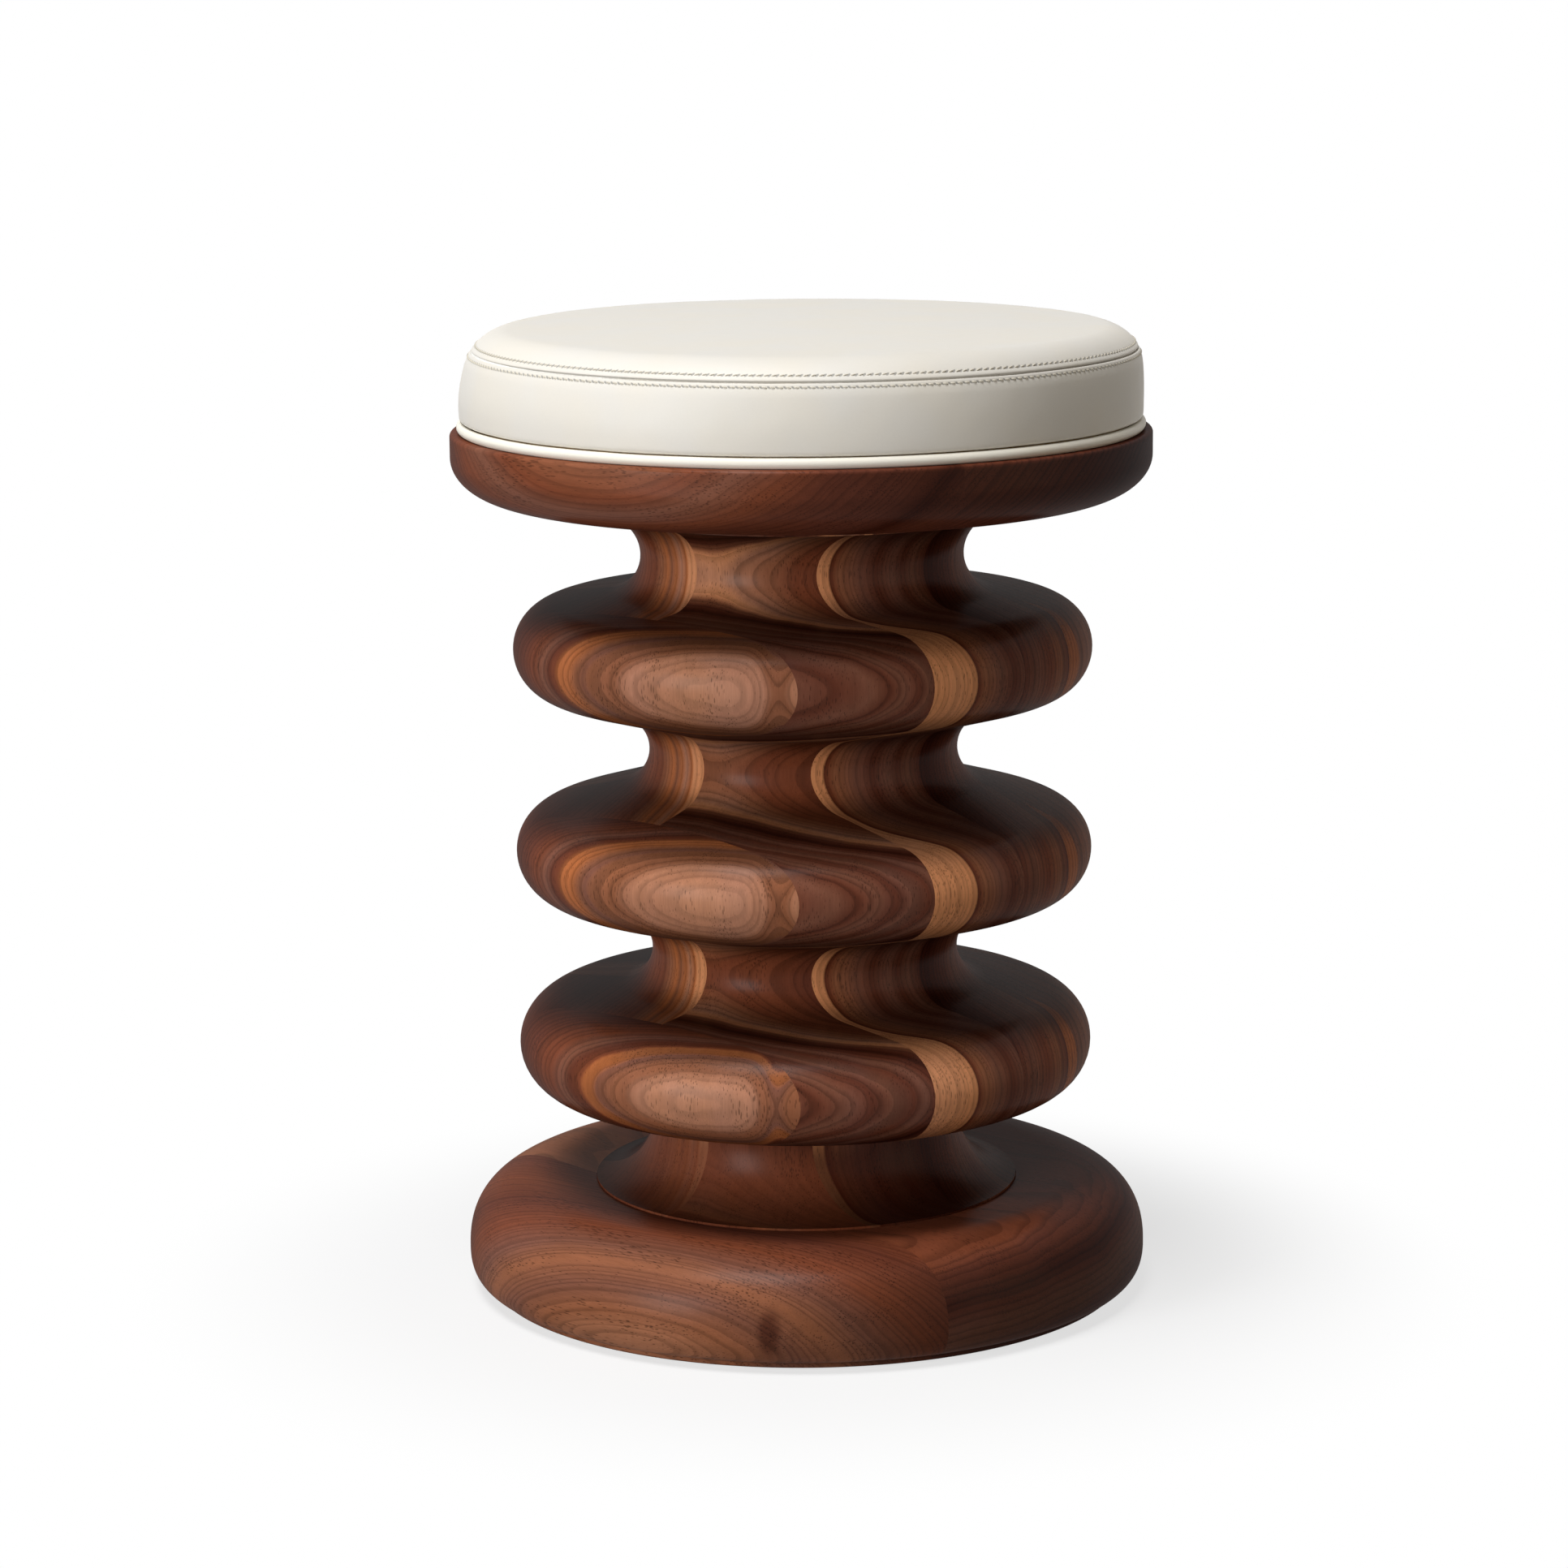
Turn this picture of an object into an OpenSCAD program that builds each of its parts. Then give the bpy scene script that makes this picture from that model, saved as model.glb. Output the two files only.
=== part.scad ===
// Turned walnut stool with a round leather cushion.
// The stool stands on the floor at z = 0 with its axis at x = y = 0, and heights count from the floor.
// Base, column and dish are each glued up from boards and then turned to one outline.

/* [Base] */
// Radius of the base at its widest
base_r = 163.2; // [158:0.2:190]
// Height of the base's widest line
base_widest_z = 18; // [12:0.5:26]
// Height of the base's crest
base_crest_z = 52.1; // [48:0.1:56]
// Width of the rounded shoulder, from the widest line in to the crest
base_shoulder_w = 36.3; // [24:0.1:50]
// Fullness of the base's curves, where 2 is an ellipse
base_fullness = 2.4; // [2:0.1:4]
// Fall of the base's top from its crest in to the column
base_dip = 1.7; // [0.5:0.1:3]
// Radius of the plinth that the base stands on
plinth_r = 153.8; // [146:0.2:157]
// Height of the plinth
plinth_h = 3; // [2:0.5:6]
// Depth of the socket that seats the column's foot
socket_depth = 3; // [2:0.5:8]

/* [Column] */
// Radius of the column's foot
foot_r = 101.4; // [90:0.2:101.6]
// Height of the foot's edge above the top of the base
foot_edge = 1; // [0.5:0.1:3]
// Radius of the neck above the foot
foot_neck_r = 73; // [62:0.5:82]
// Height of the neck above the foot
foot_neck_z = 83.4; // [80:0.2:84.4]
// Radius of the three discs
disc_r = 137.2; // [134:0.2:150]
// Rounding of a disc's edge below its widest line
disc_under_round = 23; // [18:0.2:24]
// Rounding of the lower disc's edge above its widest line
lower_disc_over_round = 23.8; // [18:0.2:24.6]
// Rounding of the middle disc's edge above its widest line
middle_disc_over_round = 21.6; // [18:0.2:24]
// Rounding of the upper disc's edge above its widest line
upper_disc_over_round = 22.6; // [18:0.2:24]
// Height of the lower disc
lower_disc_z = 118.5; // [116:0.2:121]
// Height of the middle disc
middle_disc_z = 212.5; // [209:0.2:215]
// Height of the upper disc
upper_disc_z = 309.4; // [307:0.2:312]
// Radius of the neck over the lower disc
lower_neck_r = 73; // [62:0.5:82]
// Height of the neck over the lower disc
lower_neck_z = 163.9; // [162:0.2:167]
// Radius of the neck over the middle disc
middle_neck_r = 73.3; // [62:0.5:82]
// Height of the neck over the middle disc
middle_neck_z = 260.6; // [258:0.2:264]
// Radius of the neck under the seat
top_neck_r = 76.4; // [66:0.2:84]
// Height of the neck under the seat
top_neck_z = 353.4; // [351:0.2:358]
// Radius of the coves between discs and necks
cove_r = 18; // [12:0.5:19]
// Radius of the column's head, against the dish
head_r = 100; // [92:0.5:101.5]
// Thickness of the head's edge
head_edge = 6; // [3:0.5:9]
// Radius of the tenon that enters the dish
tenon_r = 40; // [20:1:46]
// Length of the tenon
tenon_len = 18; // [8:1:24]

/* [Boards] */
// Direction that the glue planes face, anticlockwise from +X
board_turn = -132.2; // [-180:0.2:180]
// Thickness of the column's boards
board_t = 51.2; // [50.6:0.1:52]
// Distance of the middle glue plane from the axis
board_shift = 0.8; // [-2:0.1:4]
// Distance of the front layer's edge joint from the axis
edge_joint_shift = 4; // [-20:0.5:20]
// Distance from the axis to the base's front joint
base_front_joint = 68; // [62:1:88]
// Distance from the axis to the base's rear joint
base_rear_joint = 56; // [54:1:90]
// Distance from the axis to the dish's front joint
dish_front_joint = 62; // [50:1:74]
// Distance from the axis to the dish's rear joint
dish_rear_joint = 53; // [50:1:74]

/* [Dish] */
// Radius of the dish
dish_r = 165; // [163.5:0.1:180]
// Height of the dish's top
dish_top_z = 412.9; // [411:0.1:420]
// Thickness of the dish
dish_t = 32; // [29:0.2:34]
// Height of the dish's upright wall
dish_wall = 11.7; // [6:0.1:18]
// Width of the curve under the dish's wall
dish_round_w = 29.6; // [16:0.2:31]
// Rounding of the dish's upper edge
dish_arris = 2; // [0.5:0.1:4]

/* [Cushion] */
// Radius of the cushion at its foot
cushion_r = 160.5; // [158:0.1:162]
// Height of the cushion above the dish
cushion_h = 50.8; // [42:0.2:70]
// Amount that the side draws in up to the shoulder
cushion_draw = 1.8; // [0:0.1:6]
// Rounding of the shoulder
shoulder_r = 20.7; // [14:0.1:24]
// Rise of the crown over the shoulder
crown_rise = 3; // [1:0.1:8]
// Place of the seam on the shoulder, as degrees above level
seam_angle = 31; // [15:0.5:50]
// Width of the crease along the seam
seam_crease = 1.6; // [0.8:0.1:3]
// Thickness of the leather
leather_t = 1.3; // [0.9:0.1:1.8]
// Thickness of the wadding under the leather
wadding_t = 2.5; // [1.5:0.1:4]
// Diameter of the welt round the cushion's foot
welt_d = 5; // [3.6:0.1:6]
// Amount that the welt stands out beyond the side
welt_proud = 1.2; // [0:0.1:2]
// Width of the welt's flange under the seat board
welt_flange_w = 17; // [10:0.5:20]
// Width of the leather turned in under the seat board
hem_w = 22; // [14:0.5:24]
// Thickness of the plywood seat board
seat_board_t = 12; // [11:0.5:18]
// Thickness of the dust cover
dust_cover_t = 0.4; // [0.3:0.1:1]

/* [Fasteners] */
// Radius of the circle of bolts and screws in the column's ends
bolt_circle_r = 55; // [50:0.5:58]
// Diameter of the lag bolts
lag_d = 8; // [6:0.5:9]
// Length of the lag bolts under their heads
lag_len = 76; // [60:1:90]
// Width of a lag bolt's head across its corners
lag_head_d = 15; // [12:0.5:18]
// Height of a lag bolt's head
lag_head_h = 5.5; // [4:0.5:7]
// Diameter of the washers
washer_d = 22; // [19:0.5:23]
// Thickness of the washers
washer_t = 2; // [1:0.1:3]
// Diameter of the counterbores under the base
counterbore_d = 24; // [23.5:0.1:26]
// Depth of the counterbores under the base
counterbore_depth = 22; // [14:0.5:28]
// Diameter of the dish screws
screw_d = 6; // [4:0.2:7]
// Length of the dish screws
screw_len = 80; // [50:1:100]
// Diameter of a dish screw's head
screw_head_d = 12; // [10:0.5:14]
// Depth of a dish screw's head below the dish's top
screw_sink = 0.5; // [0.2:0.1:2]
// Distance of the seat bolts in from the cushion's side
seat_bolt_inset = 36.5; // [34:0.5:42]
// Diameter of the seat bolts
seat_bolt_d = 6; // [5:0.2:6.4]
// Diameter of a seat bolt's head
seat_bolt_head_d = 12; // [10:0.5:13]
// Height of a seat bolt's head
seat_bolt_head_h = 3.5; // [2:0.5:5]
// Diameter of the holes that sink the seat bolts' heads
seat_bolt_sink_d = 14; // [13.5:0.1:16]
// Depth of the holes that sink the seat bolts' heads
seat_bolt_sink = 8; // [6:0.5:12]
// Diameter of a tee nut's barrel
tee_barrel_d = 8; // [7.4:0.1:9]
// Length of a tee nut's barrel
tee_barrel_len = 9; // [6:0.5:9.5]
// Diameter of a tee nut's flange
tee_flange_d = 19; // [15:0.5:22]
// Thickness of a tee nut's flange
tee_flange_t = 1.2; // [0.8:0.1:2]

/* [Felt pads] */
// Number of felt pads under the base
felt_count = 6; // [4:1:8]
// Radius of the circle of felt pads
felt_circle_r = 125; // [115:0.5:130]
// Diameter of a felt pad
felt_d = 28; // [16:0.5:32]
// Thickness of a felt pad
felt_t = 3; // [2:0.1:5]
// Amount that the felt stands out under the base
felt_proud = 1; // [0.5:0.1:1.8]

/* [Clearances] */
// Gap of a glued wood joint that is round
glue_gap = 0.15; // [0.05:0.05:0.4]
// Gap between soft pieces
soft_gap = 0.3; // [0.1:0.05:0.5]
// Gap round a bolt that passes through
hole_gap = 0.4; // [0.2:0.05:0.8]
// Gap left for a screw's thread
thread_gap = 0.1; // [0.05:0.05:0.2]

/* [Hidden] */
$fn = 96;

// Steps of one rounded stretch of an outline
STEPS = 10;
// Far enough out to pass every board's edge
reach = max(base_r, disc_r, dish_r) + 5;
// Extra length of a cutting tool past the face that it opens
past = 1;

// Heights of the base and of the column's foot
base_bottom_z = felt_proud;
ring_z = base_crest_z - base_dip;
socket_z = ring_z - socket_depth;
foot_edge_z = ring_z + foot_edge;
counterbore_z = base_bottom_z + counterbore_depth;

// Heights of the dish and of the column's head
dish_bottom_z = dish_top_z - dish_t;
dish_wall_z = dish_top_z - dish_wall;
head_edge_z = dish_bottom_z - head_edge;
tenon_top_z = dish_bottom_z + tenon_len;

// Layers of the cushion, from the dish upwards
welt_r = welt_d / 2;
welt_x = cushion_r + welt_proud - welt_r;
welt_z = dish_top_z + welt_r;
// The welt's leather is pared to half its thickness round the cord
welt_cord_r = welt_r - leather_t / 2 - glue_gap;
seat_board_z = dish_top_z + 2 * leather_t;
seat_board_top_z = seat_board_z + seat_board_t;
seat_board_r = welt_x - welt_r - leather_t - 2 * soft_gap;
tuck_z = dish_top_z + welt_d + soft_gap;
seat_bolt_circle_r = cushion_r - seat_bolt_inset;
cushion_top_z = dish_top_z + cushion_h;
shoulder_x = cushion_r - cushion_draw - shoulder_r;
shoulder_z = cushion_top_z - crown_rise - shoulder_r;
wadding_inset = leather_t + soft_gap;
foam_inset = wadding_inset + wadding_t + soft_gap;

// The crown is part of a wide ball that runs smoothly into the rounded shoulder
crown_h = shoulder_r + crown_rise;
ball_r = (pow(shoulder_x, 2) + pow(crown_h, 2) - pow(shoulder_r, 2)) / (2 * crown_rise);
ball_tilt = asin(shoulder_x / (ball_r - shoulder_r));
crease_angle = seam_crease / 2 / shoulder_r * 180 / PI;

// Points of an ellipse's stretch round a centre, without the first one if first is 1
function arc(c, rx, rz, a0, a1, first = 0, steps = STEPS) = [
    for (i = [first:steps]) let (a = a0 + (a1 - a0) * i / steps) [c.x + rx * cos(a), c.y + rz * sin(a)]
];

// Points of a quarter curve that is fuller than an ellipse
function full_arc(c, rx, rz, a0, a1, first = 0) = [
    for (i = [first:STEPS]) let (a = a0 + (a1 - a0) * i / STEPS, s = sin(a))
    [c.x + rx * pow(cos(a), 2 / base_fullness), c.y + rz * sign(s) * pow(abs(s), 2 / base_fullness)]
];

// Angle at which a disc's rounded edge of radius r runs into the straight line to a cove
function leave_angle(edge, r, cove) =
    let (dx = cove.x - edge.x, dz = abs(cove.y - edge.y))
    atan2(dz, dx) - acos(min(1, (r + cove_r) / norm([dx, dz])));

// Outline from the neck below a disc to the neck above it
function disc_outline(z, over_round, below, above) =
    let (
        under = [disc_r - disc_under_round, z],
        over = [disc_r - over_round, z],
        low = [below.x + cove_r, below.y],
        high = [above.x + cove_r, above.y],
        a = leave_angle(under, disc_under_round, low),
        b = leave_angle(over, over_round, high)
    )
    concat(
        arc(low, cove_r, cove_r, 180, 180 - a, 1),
        arc(under, disc_under_round, disc_under_round, -a, 0),
        arc(over, over_round, over_round, 0, b, 1),
        arc(high, cove_r, cove_r, 180 + b, 180)
    );

foot_neck = [foot_neck_r, foot_neck_z];
lower_neck = [lower_neck_r, lower_neck_z];
middle_neck = [middle_neck_r, middle_neck_z];
top_neck = [top_neck_r, top_neck_z];

column_outline = concat(
    [[0, socket_z], [foot_r, socket_z]],
    arc([foot_r, foot_neck_z], foot_r - foot_neck_r, foot_neck_z - foot_edge_z, 270, 180),
    disc_outline(lower_disc_z, lower_disc_over_round, foot_neck, lower_neck),
    disc_outline(middle_disc_z, middle_disc_over_round, lower_neck, middle_neck),
    disc_outline(upper_disc_z, upper_disc_over_round, middle_neck, top_neck),
    arc([head_r, top_neck_z], head_r - top_neck_r, head_edge_z - top_neck_z, 180, 90, 1),
    [[head_r, dish_bottom_z], [tenon_r, dish_bottom_z], [tenon_r, tenon_top_z], [0, tenon_top_z]]
);

base_outline = concat(
    [[0, base_bottom_z], [plinth_r, base_bottom_z]],
    full_arc([plinth_r, base_widest_z], base_r - plinth_r, base_widest_z - base_bottom_z - plinth_h, -90, 0),
    full_arc([base_r - base_shoulder_w, base_widest_z], base_shoulder_w, base_crest_z - base_widest_z, 0, 90, 1),
    [[foot_r + glue_gap, ring_z], [foot_r + glue_gap, socket_z], [0, socket_z]]
);

dish_outline = concat(
    [
        [0, tenon_top_z + past], [tenon_r + glue_gap, tenon_top_z + past], [tenon_r + glue_gap, dish_bottom_z]
    ],
    arc([dish_r - dish_round_w, dish_wall_z], dish_round_w, dish_wall_z - dish_bottom_z, -90, 0),
    arc([dish_r - dish_arris, dish_top_z - dish_arris], dish_arris, dish_arris, 0, 90),
    [[0, dish_top_z]]
);

// Points along the shoulder of the cushion or of a layer inside it
function shoulder(inset, a0, a1, first = 0) =
    arc([shoulder_x, shoulder_z], shoulder_r - inset, shoulder_r - inset, a0, a1, first);

// Points along the crown, between its middle and the shoulder
function crown(inset, a0, a1) =
    arc([0, cushion_top_z - ball_r], ball_r - inset, ball_r - inset, a0, a1, 1);

// Outline of the cushion's inside from its side at height z up to the middle of the crown
function dome(inset, z) = concat(
    [[cushion_r - inset, z]],
    shoulder(inset, 0, 90 - ball_tilt),
    crown(inset, 90 - ball_tilt, 90)
);

// Backwards copy of a list
function back(list) = [for (i = [len(list) - 1:-1:0]) list[i]];

// Places of four fasteners, square to the boards
module four_on(r) {
    for (i = [0:3]) rotate([0, 0, board_turn + 45 + 90 * i]) translate([r, 0, 0]) children();
}

// Places of the felt pads, each inside one board
module at_felts() {
    for (i = [0:felt_count - 1])
        rotate([0, 0, board_turn + (i + 0.5) * 360 / felt_count]) translate([felt_circle_r, 0, 0]) children();
}

// A cylinder between two heights
module rod(r, z0, z1) {
    translate([0, 0, z0]) cylinder(r = r, h = z1 - z0);
}

// The space between two glue planes, and between two edge joints if given
module layer(u0, u1, v0 = -reach, v1 = reach, z0 = 0, z1 = dish_top_z) {
    rotate([0, 0, board_turn]) translate([u0, v0, z0]) cube([u1 - u0, v1 - v0, z1 - z0]);
}

// The turned base, before it is parted into its boards
module turned_base() {
    difference() {
        rotate_extrude() polygon(base_outline);
        at_felts() rod(felt_d / 2 + soft_gap, 0, felt_t);
        four_on(bolt_circle_r) {
            rod(counterbore_d / 2, 0, counterbore_z);
            rod(lag_d / 2 + hole_gap, counterbore_z - past, socket_z + past);
        }
    }
}

// The turned column, before it is parted into its boards
module turned_column() {
    rotate_extrude() polygon(column_outline);
}

// Pilot holes for the lag bolts in the foot and for the dish screws in the head
module column_pilots() {
    four_on(bolt_circle_r) {
        rod(lag_d / 2 + thread_gap, socket_z - past, counterbore_z - washer_t + lag_len + past);
        rod(screw_d / 2 + thread_gap, dish_top_z - screw_len - past, dish_bottom_z + past);
    }
}

// The turned dish, before it is parted into its boards
module turned_dish() {
    difference() {
        rotate_extrude() polygon(dish_outline);
        four_on(bolt_circle_r) {
            rod(screw_d / 2 + hole_gap, dish_bottom_z - past, dish_top_z);
            screw_head(hole_gap, past);
        }
        four_on(seat_bolt_circle_r) {
            rod(seat_bolt_sink_d / 2, dish_bottom_z - past, dish_bottom_z + seat_bolt_sink);
            rod(seat_bolt_d / 2 + hole_gap, dish_bottom_z, dish_top_z + past);
        }
    }
}

// Cone of a dish screw's head, sunk just below the dish's top, with a gap and a lead-in for its recess
module screw_head(gap = 0, lead = 0) {
    head_h = (screw_head_d - screw_d) / 2;
    top_z = dish_top_z - screw_sink;
    translate([0, 0, top_z - head_h])
        cylinder(r1 = screw_d / 2 + gap, r2 = screw_head_d / 2 + gap, h = head_h);
    if (lead > 0) rod(screw_head_d / 2 + gap, top_z, dish_top_z + lead);
}

module base_board_front() {
    color("#6b4130") intersection() {
        turned_base();
        layer(base_front_joint, reach);
    }
}

module base_board_middle() {
    color("#6f4433") intersection() {
        turned_base();
        layer(-base_rear_joint, base_front_joint);
    }
}

module base_board_rear() {
    color("#673e2e") intersection() {
        turned_base();
        layer(-reach, -base_rear_joint);
    }
}

module felt_pads() {
    color("#2a2623") at_felts() rod(felt_d / 2, 0, felt_t);
}

// Hexagon heads under the washers, and shanks up into the column's foot
module lag_bolts() {
    color("#b9bcc0") four_on(bolt_circle_r) {
        head_top_z = counterbore_z - washer_t;
        translate([0, 0, head_top_z - lag_head_h]) cylinder(d = lag_head_d, h = lag_head_h, $fn = 6);
        rod(lag_d / 2, head_top_z, head_top_z + lag_len);
    }
}

module lag_washers() {
    color("#c5c7ca") four_on(bolt_circle_r) difference() {
        rod(washer_d / 2, counterbore_z - washer_t, counterbore_z);
        rod(lag_d / 2 + hole_gap, counterbore_z - washer_t - past, counterbore_z + past);
    }
}

// What turning has left of an outer board on one disc
module cap(u0, u1, z0, z1) {
    intersection() {
        turned_column();
        layer(u0, u1, z0 = z0, z1 = z1);
    }
}

module stave(u0, u1, v0 = -reach, v1 = reach) {
    difference() {
        intersection() {
            turned_column();
            layer(u0, u1, v0, v1);
        }
        column_pilots();
    }
}

// Glue plane k, counted outwards from the middle one
function plane(k) = board_shift + k * board_t;

module front_cap_lower() {
    color("#8a5436") cap(plane(2), reach, 0, lower_neck_z);
}

module front_cap_middle() {
    color("#8a5436") cap(plane(2), reach, lower_neck_z, middle_neck_z);
}

module front_cap_upper() {
    color("#8a5436") cap(plane(2), reach, middle_neck_z, dish_top_z);
}

module front_stave_left() {
    color("#7d4b31") stave(plane(1), plane(2), v1 = edge_joint_shift);
}

module front_stave_right() {
    color("#5f3a2b") stave(plane(1), plane(2), v0 = edge_joint_shift);
}

module heart_stave_front() {
    color("#9a6239") stave(plane(0), plane(1));
}

module heart_stave_rear() {
    color("#6a4130") stave(plane(-1), plane(0));
}

module rear_stave() {
    color("#74472f") stave(plane(-2), plane(-1));
}

module rear_cap_lower() {
    color("#6d432f") cap(-reach, plane(-2), 0, lower_neck_z);
}

module rear_cap_middle() {
    color("#6d432f") cap(-reach, plane(-2), lower_neck_z, middle_neck_z);
}

module rear_cap_upper() {
    color("#6d432f") cap(-reach, plane(-2), middle_neck_z, dish_top_z);
}

module dish_board_front() {
    color("#7a4930") intersection() {
        turned_dish();
        layer(dish_front_joint, reach);
    }
}

module dish_board_middle() {
    color("#643d2d") intersection() {
        turned_dish();
        layer(-dish_rear_joint, dish_front_joint);
    }
}

module dish_board_rear() {
    color("#5c3829") intersection() {
        turned_dish();
        layer(-reach, -dish_rear_joint);
    }
}

module dish_screws() {
    color("#b9bcc0") four_on(bolt_circle_r) {
        screw_head();
        rod(screw_d / 2, dish_top_z - screw_len, dish_top_z - screw_sink - (screw_head_d - screw_d) / 2);
    }
}

// Plywood disc, drilled for the barrels of the tee nuts and sunk for their flanges
module seat_board() {
    color("#c9a878") difference() {
        rod(seat_board_r, seat_board_z, seat_board_top_z);
        four_on(seat_bolt_circle_r) {
            rod(tee_barrel_d / 2 + glue_gap, seat_board_z - past, seat_board_top_z);
            rod(tee_flange_d / 2 + glue_gap, seat_board_top_z - tee_flange_t, seat_board_top_z + past);
        }
    }
}

module tee_nuts() {
    color("#b9bcc0") four_on(seat_bolt_circle_r) difference() {
        union() {
            rod(tee_flange_d / 2, seat_board_top_z - tee_flange_t, seat_board_top_z);
            rod(tee_barrel_d / 2, seat_board_top_z - tee_flange_t - tee_barrel_len, seat_board_top_z - tee_flange_t);
        }
        rod(seat_bolt_d / 2 + thread_gap, seat_board_z - past, seat_board_top_z + past);
    }
}

module seat_bolts() {
    color("#8f9296") four_on(seat_bolt_circle_r) {
        head_top_z = dish_bottom_z + seat_bolt_sink;
        rod(seat_bolt_head_d / 2, head_top_z - seat_bolt_head_h, head_top_z);
        rod(seat_bolt_d / 2, head_top_z, seat_board_top_z - past);
    }
}

module foam_pad() {
    color("#e8dfb8") rotate_extrude()
        polygon(concat([[0, seat_board_top_z]], dome(foam_inset, seat_board_top_z)));
}

// A layer of wadding over the foam and down to the tucked edge of the leather
module wadding() {
    low_z = tuck_z + leather_t + soft_gap;
    color("#f2f0ec") rotate_extrude()
        polygon(concat(dome(wadding_inset, low_z), back(dome(wadding_inset + wadding_t, low_z))));
}

// Round leather panel from the crown down to the seam
module top_panel() {
    color("#e9e5dc") rotate_extrude() polygon(concat(
        [[0, cushion_top_z]],
        crown(0, 90, 90 - ball_tilt),
        shoulder(0, 90 - ball_tilt, seam_angle + crease_angle, 1),
        shoulder(leather_t, seam_angle, 90 - ball_tilt),
        crown(leather_t, 90 - ball_tilt, 90)
    ));
}

// Leather band from the seam down the side, tucked in over the welt and turned in under the seat board
module side_band() {
    roll = leather_t;
    inner_r = seat_board_r + soft_gap;
    color("#e4dfd3") rotate_extrude() polygon(concat(
        [[seat_board_r - hem_w, seat_board_z - leather_t], [inner_r + leather_t, seat_board_z - leather_t],
         [inner_r + leather_t, tuck_z]],
        arc([cushion_r - roll, tuck_z + roll], roll, roll, -90, 0),
        shoulder(0, 0, seam_angle - crease_angle),
        back(shoulder(leather_t, 0, seam_angle)),
        [[cushion_r - leather_t, tuck_z + leather_t], [inner_r, tuck_z + leather_t],
         [inner_r, seat_board_z], [seat_board_r - hem_w, seat_board_z]]
    ));
}

// Leather folded round the cord, with its flange in under the seat board
module welt_cover() {
    color("#efece4") rotate_extrude() difference() {
        polygon(concat(
            arc([welt_x, welt_z], welt_r, welt_r, -90, 180 + asin((welt_r - leather_t) / welt_r),
                steps = 3 * STEPS),
            [[welt_x - welt_flange_w, dish_top_z + leather_t], [welt_x - welt_flange_w, dish_top_z]]
        ));
        translate([welt_x, welt_z]) circle(r = welt_cord_r + glue_gap);
    }
}

module welt_cord() {
    color("#d8d2c2") rotate_extrude() translate([welt_x, welt_z]) circle(r = welt_cord_r);
}

module dust_cover() {
    color("#22201f") difference() {
        rod(welt_x - welt_flange_w - 2 * soft_gap, dish_top_z, dish_top_z + dust_cover_t);
        four_on(seat_bolt_circle_r) rod(seat_bolt_d / 2 + hole_gap, dish_top_z - past, dish_top_z + past);
    }
}

base_board_front();
base_board_middle();
base_board_rear();
felt_pads();
lag_bolts();
lag_washers();
front_cap_lower();
front_cap_middle();
front_cap_upper();
front_stave_left();
front_stave_right();
heart_stave_front();
heart_stave_rear();
rear_stave();
rear_cap_lower();
rear_cap_middle();
rear_cap_upper();
dish_board_front();
dish_board_middle();
dish_board_rear();
dish_screws();
seat_board();
tee_nuts();
seat_bolts();
foam_pad();
wadding();
top_panel();
side_band();
welt_cover();
welt_cord();
dust_cover();
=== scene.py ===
import math

import bmesh
import bpy
from bpy.props import FloatProperty, FloatVectorProperty, IntProperty, PointerProperty
from mathutils import Matrix, Vector, noise


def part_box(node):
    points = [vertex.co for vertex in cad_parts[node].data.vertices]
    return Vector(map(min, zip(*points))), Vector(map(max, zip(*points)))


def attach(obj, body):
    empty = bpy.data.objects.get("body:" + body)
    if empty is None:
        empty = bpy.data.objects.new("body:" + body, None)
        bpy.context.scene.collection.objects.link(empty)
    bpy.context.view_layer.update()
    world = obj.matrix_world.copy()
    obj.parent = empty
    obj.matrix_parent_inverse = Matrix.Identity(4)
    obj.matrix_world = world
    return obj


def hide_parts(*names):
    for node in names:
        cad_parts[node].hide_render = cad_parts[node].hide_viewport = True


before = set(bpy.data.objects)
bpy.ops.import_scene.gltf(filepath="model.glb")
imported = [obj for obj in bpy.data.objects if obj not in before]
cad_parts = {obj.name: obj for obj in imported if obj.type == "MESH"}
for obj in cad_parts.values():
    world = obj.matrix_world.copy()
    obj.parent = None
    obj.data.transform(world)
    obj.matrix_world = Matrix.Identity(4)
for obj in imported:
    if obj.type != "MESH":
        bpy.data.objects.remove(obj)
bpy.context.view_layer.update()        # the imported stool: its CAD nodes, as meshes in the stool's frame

bl_info = {
    "name": "Turned Walnut Stool",
    "version": (1, 0, 0),
    "blender": (4, 5, 0),
    "location": "3D Viewport > Sidebar > Stool",
    "description": "Turns the walnut boards and sews the leather cushion of a round stool",
    "category": "Add Mesh",
}

BODY = "root"
MM = 1000.0  # in a metre
UP = Vector((0, 0, 1))

# Faces round the turned wood, round the cushion and round small parts such as pads and holes
LATHE_STEPS, CUSHION_STEPS, SMALL_STEPS = 224, 320, 48
DISC_STEPS = 14  # along each arc of a disc's outline
# Degrees from which an edge stays crisp, in wood, in leather and in small parts
WOOD_CRISP, LEATHER_CRISP, SMALL_CRISP = 30, 50, 60

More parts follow.
